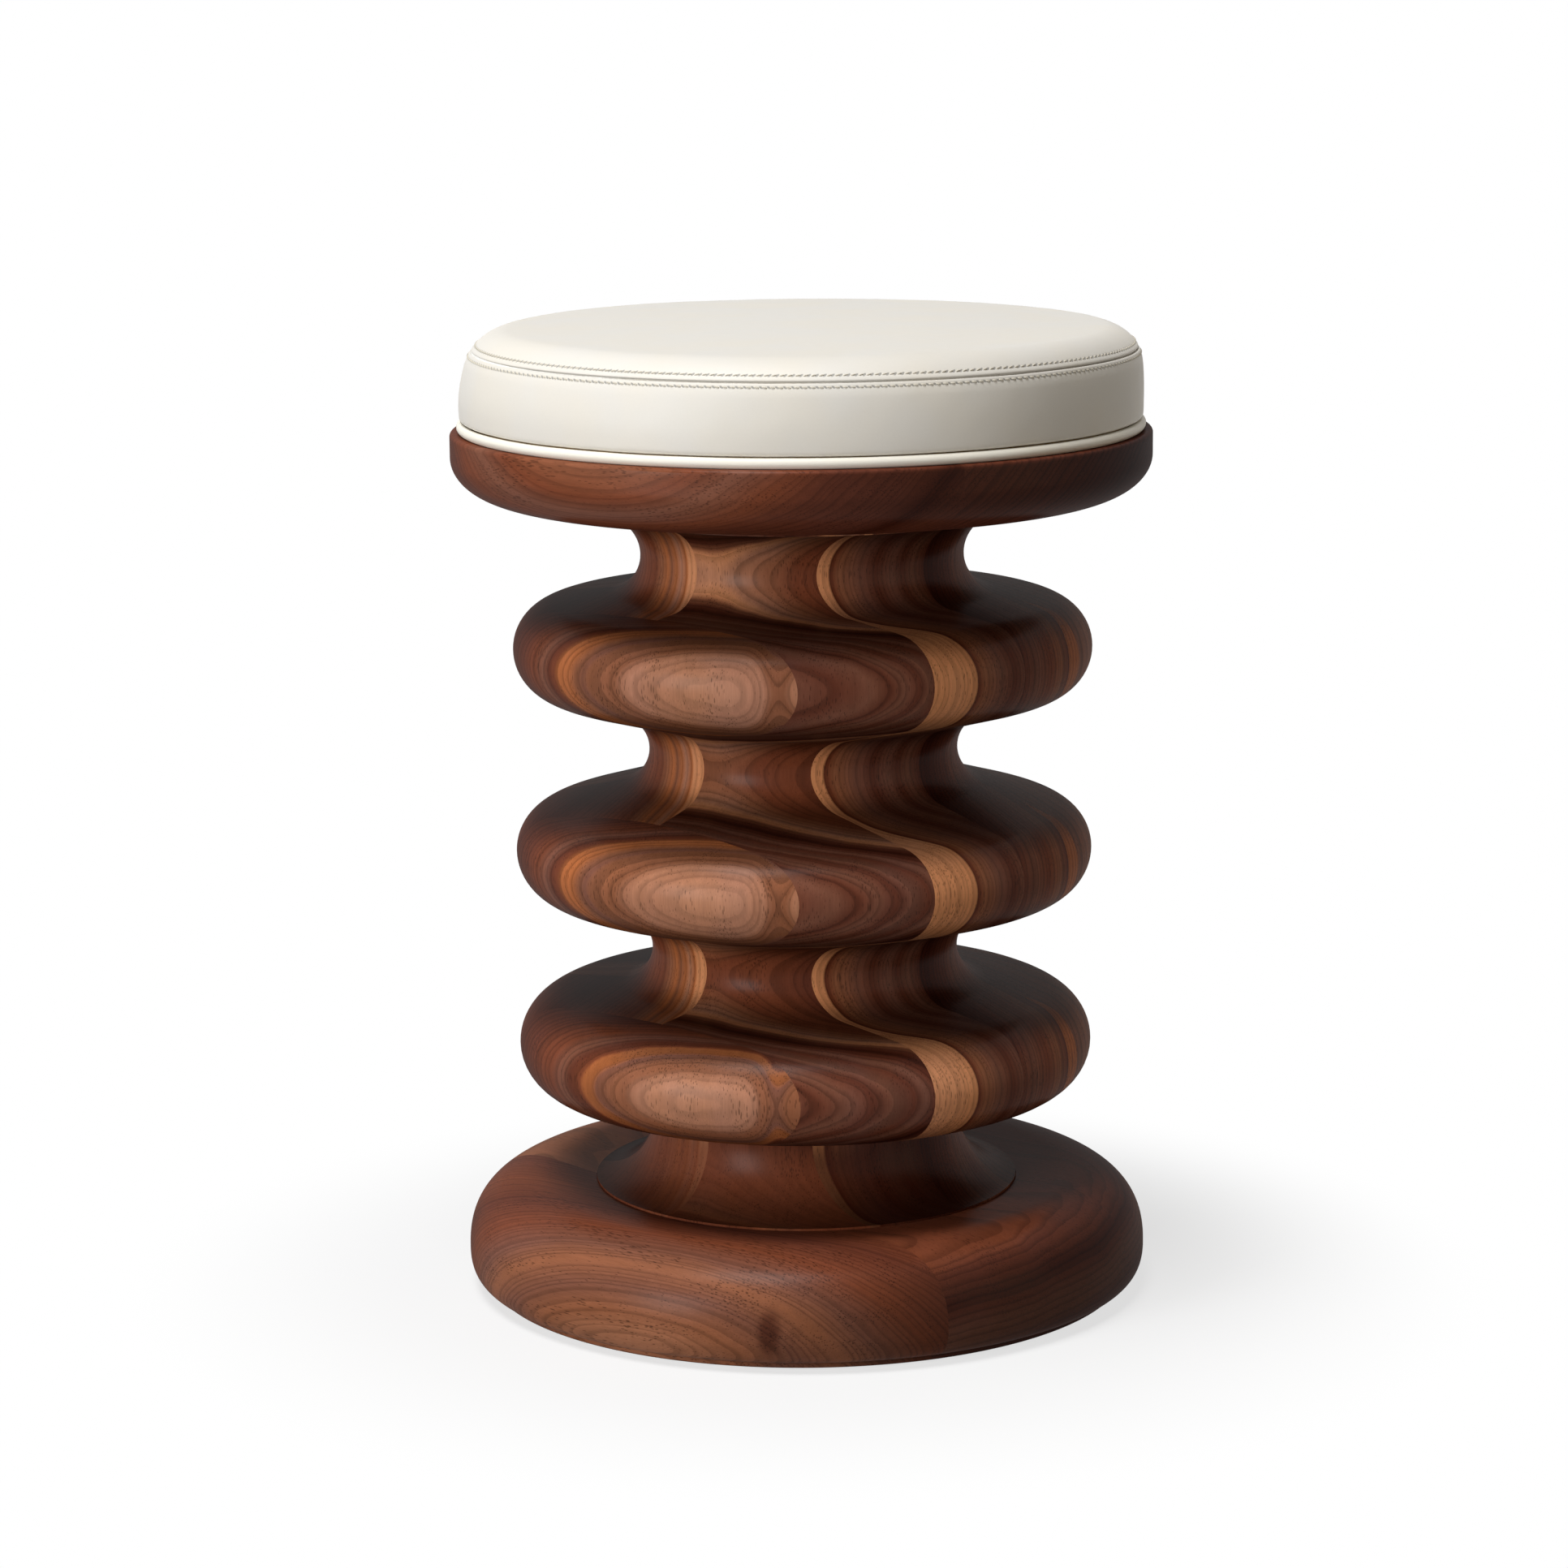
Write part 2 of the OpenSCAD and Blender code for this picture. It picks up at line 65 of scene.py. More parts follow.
# Holes, pads and fits, in metres
BOLT_COUNT, BOLT_CIRCLE_R, COUNTERBORE_R, COUNTERBORE_DEPTH = 4, 0.055, 0.012, 0.022
SEAT_BOLT_CIRCLE_R, SEAT_BOLT_SINK_R, SEAT_BOLT_SINK = 0.124, 0.007, 0.008
FELT_COUNT, FELT_CIRCLE_R, FELT_HOLE_R, FELT_HOLE_TOP = 6, 0.125, 0.0143, 0.003
FELT_R, FELT_SOFT = 0.014, 0.0006
PAST = 0.001  # how far a cut goes past a face
GLUE_GAP = 0.00015
PLINTH_ARRIS = 0.0006
FOOT_FADE_MM = (74, 94)  # heights between which the column's foot is blended toward one plain tone, partly its even colour and partly painted shade

# The cover's seam and its edges that are tucked under, in metres and degrees
SEAM_LEAN = 0.75  # share of the cover's lean that its seam takes
NEAR_SEAM = 15  # part of the outline that is drawn finer, on each side of the seam
SEAM_REACH = 0.012
LIP, LIP_PLACE, LIP_W = 0.00013, 0.0015, 0.0010
NEEDLE_LINE, NEEDLE_LINE_W = 0.00004, 0.0006
CREASE, CREASE_W = 0.0011, 0.00042
SEAM_TUCK, TUCK_RISE = 0.003, 0.0002
HEM_GAP, HEM_ROLL, HEM_W = 0.0004, 0.0022, 0.0052
# Unevenness of the leather: fine and broad, and of the welt
FINE_WAVE, BROAD_WAVE, WELT_WAVE = 0.00008, 0.00025, 0.00009
NEEDLE_SLANT, STITCH_SLANT = math.radians(32), math.radians(14)
STITCH_L, STITCH_RISE = 0.0027, 0.00028
THREAD_STEPS = 6  # faces round the thread, and parts along a stitch


def span_of(node):
    """Heights of a CAD node's lowest and highest point."""
    low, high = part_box(node)
    return low[2], high[2]


def number(name, description, *default, **limits):
    """A number property, or a list of them where several defaults are given."""
    limits |= {"name": name, "description": description}
    if len(default) == 1:
        return FloatProperty(default=default[0], **limits)
    return FloatVectorProperty(default=default, size=len(default), **limits)


def length(name, description, *metres):
    return number(name, description, *metres, min=0, unit="LENGTH", precision=4)


def turn(name, description, *degrees):
    return number(name, description, *map(math.radians, degrees), unit="ROTATION")


def linear(code):
    """Linear colour from a web colour such as 8c5a3c."""
    parts = [int(code[i:i + 2], 16) / 255 for i in (0, 2, 4)]
    return [p / 12.92 if p <= 0.04045 else ((p + 0.055) / 1.055) ** 2.4 for p in parts]


def colour(name, description, code):
    return number(name, description, *linear(code), subtype="COLOR", min=0, max=1)


class StoolBaseSizes(bpy.types.PropertyGroup):
    widest_r: length("Radius", "Radius of the base at its widest", 0.1632)
    widest_z: length("Widest height", "Height of the base's widest line", 0.018)
    crest_z: length("Crest", "Height of the base's crest", span_of("base_board_middle")[1])
    shoulder_w: length("Shoulder", "Width of the rounded shoulder, from the widest line to the crest", 0.0363)
    fullness: number("Fullness", "Fullness of the curves, where 2 is an ellipse", 2.4)
    dip: length("Dip", "Fall of the base's top from its crest in to the column", 0.0017)
    plinth_r: length("Plinth radius", "Radius of the plinth that the base stands on", 0.1538)
    plinth_h: length("Plinth", "Height of the plinth", 0.003)
    joints: length("Glue joints", "Distances from the axis to the front and rear joint", 0.068, 0.056)


class StoolColumnSizes(bpy.types.PropertyGroup):
    foot_r: length("Foot radius", "Radius of the column's foot", 0.1014)
    foot_edge: length("Foot edge", "Height of the foot's edge above the top of the base", 0.001)
    neck_r: length("Neck radii", "Radius of each neck, from the foot up", 0.073, 0.073, 0.0733, 0.0764)
    neck_z: length("Neck heights", "Height of each neck, from the foot up", 0.0834, 0.1639, 0.2606, 0.3534)
    disc_r: length("Disc radius", "Radius of the three discs", 0.1372)
    disc_z: length("Disc heights", "Height of each disc, from the lowest up", 0.1185, 0.2125, 0.3094)
    disc_under: length("Disc underside", "Rounding of a disc's edge below its widest line", 0.023)
    disc_over: length("Disc tops", "Rounding of each disc above its widest line", 0.0238, 0.0216, 0.0226)
    cove_r: length("Cove", "Radius of the coves between discs and necks", 0.018)
    head_r: length("Head radius", "Radius of the column's head, against the dish", 0.1)
    head_edge: length("Head edge", "Thickness of the head's edge", 0.006)
    tenon_r: length("Tenon radius", "Radius of the tenon that enters the dish", 0.04)


class StoolBoardSizes(bpy.types.PropertyGroup):
    facing: turn("Facing", "Direction that the glue planes face, anticlockwise from +X", -132.2)
    thickness: length("Board thickness", "Thickness of the column's boards", 0.0512)
    shift: length("Middle glue plane", "Distance of the middle glue plane from the axis", 0.0008)
    edge_joint: length("Edge joint", "Distance of the front layer's edge joint from the axis", 0.004)


class StoolDishSizes(bpy.types.PropertyGroup):
    rim_r: length("Radius", "Radius of the dish", 0.165)
    wall: length("Wall", "Height of the dish's upright wall", 0.0117)
    round_w: length("Round", "Width of the curve under the dish's wall", 0.0296)
    arris: length("Arris", "Rounding of the dish's upper edge", 0.002)
    joints: length("Glue joints", "Distances from the axis to the front and rear joint", 0.062, 0.053)


class StoolCushionSizes(bpy.types.PropertyGroup):
    foot_r: length("Radius", "Radius of the cushion at its foot", 0.1605)
    draw: length("Draw", "Amount that the side draws in up to the shoulder", 0.0014)
    belly_h: length("Belly", "Height of the side's widest line above the welt", 0.0065)
    shoulder_r: length("Shoulder", "Rounding of the shoulder", 0.0207)
    crown: length("Crown", "Rise of the crown over the shoulder", 0.003)
    lean: length("Lean", "Amount that the filled cover leans to the right at its top", 0.0026)
    seam_angle: turn("Seam", "Place of the seam on the shoulder, as an angle above level", 31)
    leather_t: length("Leather", "Thickness of the leather", 0.0013)
    welt_d: length("Welt", "Diameter of the welt round the foot", 0.005)
    welt_proud: length("Welt reach", "Amount that the welt stands out beyond the side", 0.0012)
    welt_flange: length("Welt flange", "Width of the welt's flange under the cushion", 0.017)
    stitch_count: IntProperty(name="Stitches", description="Stitches in one row round the seam", default=280)
    rows: length("Stitch rows", "Distances of the rows of stitches above and below the seam", 0.0034, 0.0025)
    thread_d: length("Thread", "Diameter of the sewing thread", 0.0006)


class StoolColours(bpy.types.PropertyGroup):
    umber: colour("Umber", "Darkest heartwood", "431c10")
    cocoa: colour("Cocoa", "Dark brown heartwood", "623323")
    mauve: colour("Mauve", "Cool brown heartwood", "794c3a")
    russet: colour("Russet", "Red brown heartwood", "773f28")
    chestnut: colour("Chestnut", "Warm mid brown heartwood", "8d573b")
    amber: colour("Amber", "Orange brown heartwood", "aa6339")
    tan: colour("Tan", "Light heartwood", "a97356")
    fawn: colour("Fawn", "Lightest heartwood", "c18968")
    honey: colour("Honey", "Sapwood", "d18c5e")
    leather: colour("Leather", "Ivory leather of the cover", "e8e4dc")
    welt: colour("Welt", "Cream leather of the welt", "f5f1e6")
    thread: colour("Thread", "Sewing thread", "d9d2c1")


class StoolStudio(bpy.types.PropertyGroup):
    ambient: number("Ambient", "Level of the light from all round", 0.06)
    levels: number("Levels", "Levels of the key, overhead and fill light", 0.55, 0.79, 0.12)
    bearings: turn("Bearings", "Directions of the three lights, right of the front", -46, -38, 68)
    heights: turn("Heights", "Angles of the three lights above level", 9, 70, 8)
    distance: length("Distance", "Distance of the softboxes", 3.4)


class Pen:
    """Draws an outline in the XZ plane, as a chain of edges that the lathe turns."""

    def __init__(self, x, z):
        self.bm = bmesh.new()
        self.tip = self.bm.verts.new((x, 0, z))

    def line(self, x, z, steps=1):
        start, end = self.tip.co.copy(), Vector((x, 0, z))
        for i in range(1, steps + 1):
            point = self.bm.verts.new(start.lerp(end, i / steps))
            self.bm.edges.new((self.tip, point))
            self.tip = point
        return self

    def arc(self, x, z, degrees, steps, squash=(1, 1), fullness=2):
        """Turns the tip anticlockwise round (x, z). Squash makes it an ellipse, and fullness fills it out."""
        centre = Vector((x, 0, z))
        radius = (self.tip.co - centre).length
        drawn = len(self.bm.verts)
        bmesh.ops.spin(
            self.bm, geom=[self.tip], cent=centre, axis=(0, -1, 0), angle=math.radians(degrees), steps=steps
        )
        self.bm.verts.ensure_lookup_table()
        points = self.bm.verts[drawn:]
        for axis, reach in (0, radius * squash[0]), (2, radius * squash[1]):
            for point in points:
                part = (point.co[axis] - centre[axis]) / radius
                point.co[axis] = centre[axis] + math.copysign(abs(part) ** (2 / fullness), part) * reach
        self.tip = points[-1]
        return self

    def line_round(self, centre, radius, degrees, steps):
        """Line to the point of a circle at an angle, anticlockwise from +X."""
        at = math.radians(degrees)
        return self.line(centre[0] + radius * math.cos(at), centre[1] + radius * math.sin(at), steps)


def on_lathe(pen, steps):
    """Turns an outline round the Z axis into a skin, with its poles closed and its faces outwards."""
    bm = pen.bm
    outline = bm.verts[:] + bm.edges[:]
    bmesh.ops.spin(bm, geom=outline, cent=(0, 0, 0), axis=UP, angle=math.tau, steps=steps, use_merge=True)
    bmesh.ops.remove_doubles(bm, verts=bm.verts, dist=1e-6)
    bmesh.ops.recalc_face_normals(bm, faces=bm.faces)
    return bm


def keep_between(turned, cuts):
    """Copy of a turned solid inside flat cuts, each a direction and how far it reaches along it."""
    bm = turned.copy()
    for direction, reach in cuts:
        cut = bmesh.ops.bisect_plane(
            bm, geom=bm.verts[:] + bm.edges[:] + bm.faces[:], dist=1e-7,
            plane_co=direction * reach, plane_no=direction, clear_outer=True,
        )
        rim = [e for e in cut["geom_cut"] if isinstance(e, bmesh.types.BMEdge)]
        for edge in rim:
            edge.smooth = False
        if rim:
            bmesh.ops.triangle_fill(bm, edges=rim, use_beauty=True)
    bmesh.ops.recalc_face_normals(bm, faces=bm.faces)
    return bm


def smooth(bm, crisp):
    """Smooths a mesh but for edges sharper than crisp degrees."""
    for edge in bm.edges:
        edge.smooth = edge.smooth and edge.calc_face_angle(0) < math.radians(crisp)
    for face in bm.faces:
        face.smooth = True


def add_object(name, bm):
    """Adds an object of a mesh that is done."""
    mesh = bpy.data.meshes.new(name)
    bm.to_mesh(mesh)
    bm.free()
    made = bpy.data.objects.new(name, mesh)
    bpy.context.scene.collection.objects.link(made)
    return made


def make_piece(bm, name, material, stands_for, crisp=WOOD_CRISP):
    """Makes a piece of a mesh that is done, in place of the CAD nodes that it stands for."""
    smooth(bm, crisp)
    piece = add_object(name, bm)
    piece.data.materials.append(material)
    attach(piece, BODY)
    if stands_for:
        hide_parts(*stands_for)
    return piece


def copies(shape, places):
    """Mesh with a copy of a shape at each place, given as a matrix."""
    mesh = bpy.data.meshes.new("shape")
    shape.to_mesh(mesh)
    shape.free()
    bm = bmesh.new()
    for place in places:
        made = len(bm.verts)
        bm.from_mesh(mesh)
        bm.verts.ensure_lookup_table()
        bmesh.ops.transform(bm, matrix=place, verts=bm.verts[made:])
    bpy.data.meshes.remove(mesh)
    return bm


def drill(piece, places, radius, low, high):
    """Cuts round holes in a piece, from one height to another, at places in the XY plane."""
    bit = bmesh.new()
    bmesh.ops.create_cone(
        bit, cap_ends=True, segments=SMALL_STEPS, radius1=radius, radius2=radius, depth=high - low
    )
    middle = UP * ((low + high) / 2)
    bits = add_object("drill", copies(bit, [Matrix.Translation(place + middle) for place in places]))
    cut = piece.modifiers.new("holes", "BOOLEAN")
    cut.operation, cut.solver, cut.object = "DIFFERENCE", "MANIFOLD", bits
    drilled = bpy.data.meshes.new_from_object(piece.evaluated_get(bpy.context.evaluated_depsgraph_get()))
    piece.modifiers.clear()
    spent = (piece.data, bits.data)
    piece.data = drilled
    bpy.data.objects.remove(bits)
    for mesh in spent:
        bpy.data.meshes.remove(mesh)
    bm = bmesh.new()
    bm.from_mesh(drilled)
    smooth(bm, WOOD_CRISP)
    bm.to_mesh(drilled)
    bm.free()
    drilled.name = piece.name


def ring_of(count, radius, boards):
    """Places evenly round a circle, with the way that the glue planes face half way between two."""
    start = boards.facing + math.pi / count
    turns = (Matrix.Rotation(start + math.tau * i / count, 3, "Z") for i in range(count))
    return [turned @ Vector((radius, 0, 0)) for turned in turns]


class Signal:
    """A node's output. Sums and products of signals, numbers and tuples become math nodes."""

    def __init__(self, graph, socket):
        self.graph, self.socket = graph, socket

    def __add__(self, other):
        return self.graph.math("ADD", self, other)

    def __mul__(self, other):
        return self.graph.math("MULTIPLY", self, other)

    def __sub__(self, other):
        return self.graph.math("SUBTRACT", self, other)

    def __rsub__(self, other):
        return self.graph.math("SUBTRACT", other, self)

    def __truediv__(self, other):
        return self.graph.math("DIVIDE", self, other)

    __radd__, __rmul__ = __add__, __mul__


def is_vector(value):
    """Whether a value is a vector or a colour, and not a number."""
    if isinstance(value, Signal):
        return value.socket.type in ("VECTOR", "RGBA")
    return isinstance(value, (tuple, Vector))


class Graph:
    """Short ways to add nodes to a tree. Values and signals both go in as inputs."""

    def __init__(self, tree):
        self.tree = tree

    def add(self, kind, inputs=(), **settings):
        made = self.tree.nodes.new(kind)
        for name, value in settings.items():
            setattr(made, name, value)
        for name, value in dict(inputs).items():
            if value is not None:
                self.plug(made.inputs[name], value)
        return made

    def plug(self, socket, value):
        if isinstance(value, Signal):
            self.tree.links.new(value.socket, socket)
        else:
            socket.default_value = value

    def signals(self, sockets):
        return {socket.name: Signal(self, socket) for socket in sockets}

    def out(self, kind, inputs=(), output=0, **settings):
        """Signal from one output of a new node."""
        return Signal(self, self.add(kind, inputs, **settings).outputs[output])

    def group(self, tree, inputs):
        return self.signals(self.add("ShaderNodeGroup", inputs, node_tree=tree).outputs)

    def math(self, operation, a, b=None):
        """Math of numbers, or of vectors where one goes in."""
        if not (is_vector(a) or is_vector(b)):
            return self.out("ShaderNodeMath", {0: a, 1: b}, operation=operation)
        if operation == "MULTIPLY" and not is_vector(b):
            return self.out("ShaderNodeVectorMath", {0: a, "Scale": b}, operation="SCALE")
        output = "Value" if operation in ("LENGTH", "DOT_PRODUCT") else "Vector"
        return self.out("ShaderNodeVectorMath", {0: a, 1: b}, output, operation=operation)

    def fade(self, value, start, end, low=0.0, high=1.0):
        """Smooth step of a value from low at start to high at end."""
        inputs = {"Value": value, "From Min": start, "From Max": end, "To Min": low, "To Max": high}
        return self.out("ShaderNodeMapRange", inputs, interpolation_type="SMOOTHSTEP")

    def mix(self, factor, a, b, blend="MIX"):
        return self.out("ShaderNodeMix", {0: factor, 6: a, 7: b}, 2, data_type="RGBA", blend_type=blend)

    def split(self, vector):
        """Signals of a vector's X, Y and Z."""
        return self.signals(self.add("ShaderNodeSeparateXYZ", {0: vector}).outputs).values()

    def stretch(self, vector, *grain):
        """The vector counted in steps of a grain, given once or along X, Y and Z."""
        return vector * tuple(1 / size for size in (grain * 3 if len(grain) == 1 else grain))

    def noise(self, vector, *grain, detail=2.0, roughness=0.5, output="Fac"):
        """Noise with a grain in the vector's own unit, given once or along X, Y and Z."""
        inputs = {"Vector": self.stretch(vector, *grain), "Scale": 1.0}
        inputs |= {"Detail": detail, "Roughness": roughness}
        return self.out("ShaderNodeTexNoise", inputs, output)

    def noise_along(self, value, detail=1.0):
        inputs = {"W": value, "Scale": 1.0, "Detail": detail}
        return self.out("ShaderNodeTexNoise", inputs, noise_dimensions="1D")

    def cells(self, vector, feature):
        """Distance from the middles of cells one step apart."""
        return self.out("ShaderNodeTexVoronoi", {"Vector": vector, "Scale": 1.0}, "Distance", feature=feature)

    def ramp(self, value, stops):
        made = self.add("ShaderNodeValToRGB", {"Fac": value})
        elements = made.color_ramp.elements
        elements.remove(elements[-1])
        for i, (place, tone) in enumerate(stops):
            stop = elements[0] if i == 0 else elements.new(place)
            stop.position = place
            stop.color = (*tone, 1)
        return Signal(self, made.outputs["Color"])

    def place_mm(self, shift=(0, 0, 0)):
        """Places on the object in mm, counted from a shift in metres."""
        return (self.out("ShaderNodeTexCoord", output="Object") - shift) * MM


def node_group(inputs, outputs):
    """Turns a function that draws nodes into one that gives their group, drawn once under its name.

    Inputs and outputs are names with F for a number, V for a vector and C for a colour."""
    kinds = {"F": "NodeSocketFloat", "V": "NodeSocketVector", "C": "NodeSocketColor"}

    def wrap(draw):
        def group():
            name = draw.__name__
            if name not in bpy.data.node_groups:
                tree = bpy.data.node_groups.new(name, "ShaderNodeTree")
                for way, sockets in {"INPUT": inputs, "OUTPUT": outputs}.items():
                    for socket, kind in sockets.items():
                        tree.interface.new_socket(socket, in_out=way, socket_type=kinds[kind])
                graph = Graph(tree)
                made = draw(graph, graph.signals(graph.add("NodeGroupInput").outputs))
                for socket, value in zip(graph.add("NodeGroupOutput").inputs, made):
                    graph.plug(socket, value)
            return bpy.data.node_groups[name]

        return group

    return wrap


@node_group(
    {"Vector": "V", "Bark Way": "V", "Side Way": "V", "Pith": "F", "Lean": "V", "Wander": "F",
     "Ring Width": "F", "Ripple": "V"},
    {"Depth": "F", "Line": "F", "Year": "F"},
)
def growth_rings(graph, given):
    """Measures wood from its pith, in mm, in a frame whose Z runs along the grain.

    Lean is the pith's shift to the side for each mm of grain, and wander is how far the rings stray.
    A ripple is a ridge in the rings, given by its place to the side, its width and its height.
    Depth is 0 at the frame's axis and grows towards the bark. Line is high at the late wood of each year."""
    place, middle = given["Vector"], (0.5, 0.5, 0.5)
    _, _, along = graph.split(place)
    drift = (graph.noise(place, 46, 46, 230, detail=2.5, output="Color") - middle) * given["Wander"]
    shake = (graph.noise(place, 13, 13, 60, detail=1.5, output="Color") - middle) * 0.8
    flat = (place - given["Lean"] * along + drift + shake) * (1, 1, 0)
    depth = graph.math("LENGTH", flat + given["Bark Way"] * given["Pith"]) - given["Pith"]
    ridge, width, height = graph.split(given["Ripple"])
    side = (graph.math("DOT_PRODUCT", flat, given["Side Way"]) - ridge) / width
    depth += graph.math("EXPONENT", graph.math("POWER", side, 2.0) * -1.0) * height
    years = depth / given["Ring Width"]
    years += graph.noise_along(years * 0.31) * 2.4
    part = graph.math("FRACT", years)
    line = graph.fade(part, 0.45, 0.93) * graph.fade(part, 0.95, 1.0, 1.0, 0.0)
    return depth, line, graph.noise_along(years * 0.8, detail=2.0)


@node_group(
    {"Color": "C", "Vector": "V", "Line": "F", "Year": "F", "End Grain": "F", "Line Depth": "F",
     "Pores": "F"},
    {"Color": "C", "Roughness": "F", "Height": "F"},
)
def oiled_walnut(graph, given):
    """Lays fibres, pores and dark end grain, partly painted shade, over a board's colour. The vector is in
    mm, along the grain in Z.
    """
    place, line = given["Vector"], given["Line"]
    streak = graph.noise(place, 3.2, 3.2, 75, detail=3.0, roughness=0.6)
    fibre = graph.noise(place, 0.55, 0.55, 14)
    cloud = graph.noise(place, 34, 34, 120)
    crowd = graph.noise(place, 12, 12, 55, detail=1.0)
    away = graph.cells(graph.stretch(place, 0.95, 0.95, 6.5), "F1")
    size = graph.fade(crowd, 0.35, 0.7, 0.12, 0.34)
    soft = graph.fade(away, size * 0.6, size * 1.2, 1.0, 0.0)
    pore = graph.math("MAXIMUM", soft, graph.math("LESS_THAN", away, size) * 0.5) * given["Pores"]
    # end grain is darker, and this darkening is set strong enough that it also paints the shade on the discs'
    # tops
    across = graph.fade(given["End Grain"], 0.4, 0.97)
    tone = 0.68 + streak * 0.42 + fibre * 0.42 + (cloud - 0.5) * 0.35
    tone += (given["Year"] - 0.5) * given["Line Depth"] * 1.5
    tone *= (1.0 - line * given["Line Depth"]) * (1.0 - pore * 0.55) * (1.0 - across * 0.52)
    tinted = graph.mix(graph.fade(cloud, 0.35, 0.7), given["Color"], (0.93, 0.98, 1.12, 1), "MULTIPLY")
    rough = 0.37 + streak * 0.12 + pore * 0.18 + across * 0.08
    return tinted * tone, rough, fibre * 0.25 - pore - line * 0.2


@node_group({"Color": "C", "Vector": "V", "Seam Shade": "F"}, {"Color": "C", "Roughness": "F", "Height": "F"})
def soft_leather(graph, given):
    """Gives smooth leather its fine pebble and faint clouding, and darkens and sinks it where seam shade is
    painted. The vector is in mm.
    """
    place, seam_shade = given["Vector"], given["Seam Shade"]
    warp = graph.noise(place, 2.1, output="Color") * 0.9
    pebble = graph.cells(graph.stretch(place, 0.9) + warp, "SMOOTH_F1")
    cloud = graph.noise(place, 38)
    crease = graph.noise(place, 5, detail=3.0, roughness=0.6)
    # painted shade: the seam's crease and needle holes darken the leather's colour
    tone = (0.965 + cloud * 0.05 - pebble * 0.02) * (1.0 - seam_shade * 0.72)
    warm = graph.mix(graph.fade(cloud, 0.3, 0.7), given["Color"], (1.0, 0.985, 0.955, 1), "MULTIPLY")
    return warm * tone, 0.42 + crease * 0.14, crease * 0.8 - pebble * 0.35 - seam_shade * 2.0


@node_group({"Vector": "V", "Seam": "F", "Row": "F", "Count": "F", "Slant": "F"}, {"Seam Shade": "F"})
def painted_seam_shade(graph, given):
    """Paints the shade in a seam's crease and in the slanted needle holes of one row of stitches.

    Both go round the Z axis, at heights in mm."""
    x, y, z = graph.split(given["Vector"])
    turns = graph.math("ARCTAN2", y, x) / math.tau
    pitch = graph.math("LENGTH", given["Vector"] * (1, 1, 0)) * math.tau / given["Count"]
    side = (graph.math("FRACT", turns * given["Count"]) - 0.5) * pitch
    rise = z - given["Row"]
    cos, sin = graph.math("COSINE", given["Slant"]), graph.math("SINE", given["Slant"])
    along, across = (side * cos + rise * sin) / 1.25, (rise * cos - side * sin) / 0.62
    apart = graph.math("SQRT", graph.math("POWER", along, 2.0) + graph.math("POWER", across, 2.0))
    # painted shade in each slanted needle hole
    hole_shade = graph.fade(apart, 0.45, 1.0, 0.75, 0.0)
    # painted shade along the seam's crease
    crease = graph.fade(graph.math("ABSOLUTE", z - given["Seam"]), 0.15, 0.6, 0.6, 0.0)
    return [graph.math("MAXIMUM", hole_shade, crease)]


def new_material(name):
    """A material with a Principled shader, and its graph."""
    material = bpy.data.materials.new(name)
    material.use_nodes = True
    return material, Graph(material.node_tree), material.node_tree.nodes["Principled BSDF"]


def finish_shader(graph, shader, made, bump, relief_mm, **values):
    """Plugs a finish's colour, roughness and height into a Principled shader, and sets its other inputs."""
    bumped = {"Strength": bump, "Distance": relief_mm / MM, "Height": made["Height"]}
    graph.plug(shader.inputs["Base Color"], made["Color"])
    graph.plug(shader.inputs["Roughness"], made["Roughness"])
    graph.plug(shader.inputs["Normal"], graph.out("ShaderNodeBump", bumped))
    for name, value in values.items():
        graph.plug(shader.inputs[name.replace("_", " ")], value)


def board_axes(boards):
    """Direction square to the glue planes, and the one along them."""
    turned = Matrix.Rotation(boards.facing, 3, "Z")
    return turned @ Vector((1, 0, 0)), turned @ Vector((0, 1, 0))


def grain_frame(boards, upright):
    """Turn from the stool's frame to one with Z along the grain and X square to the glue planes."""
    unturn = Matrix.Rotation(-boards.facing, 3, "Z")
    return unturn if upright else Matrix.Rotation(math.radians(90), 3, "X") @ unturn


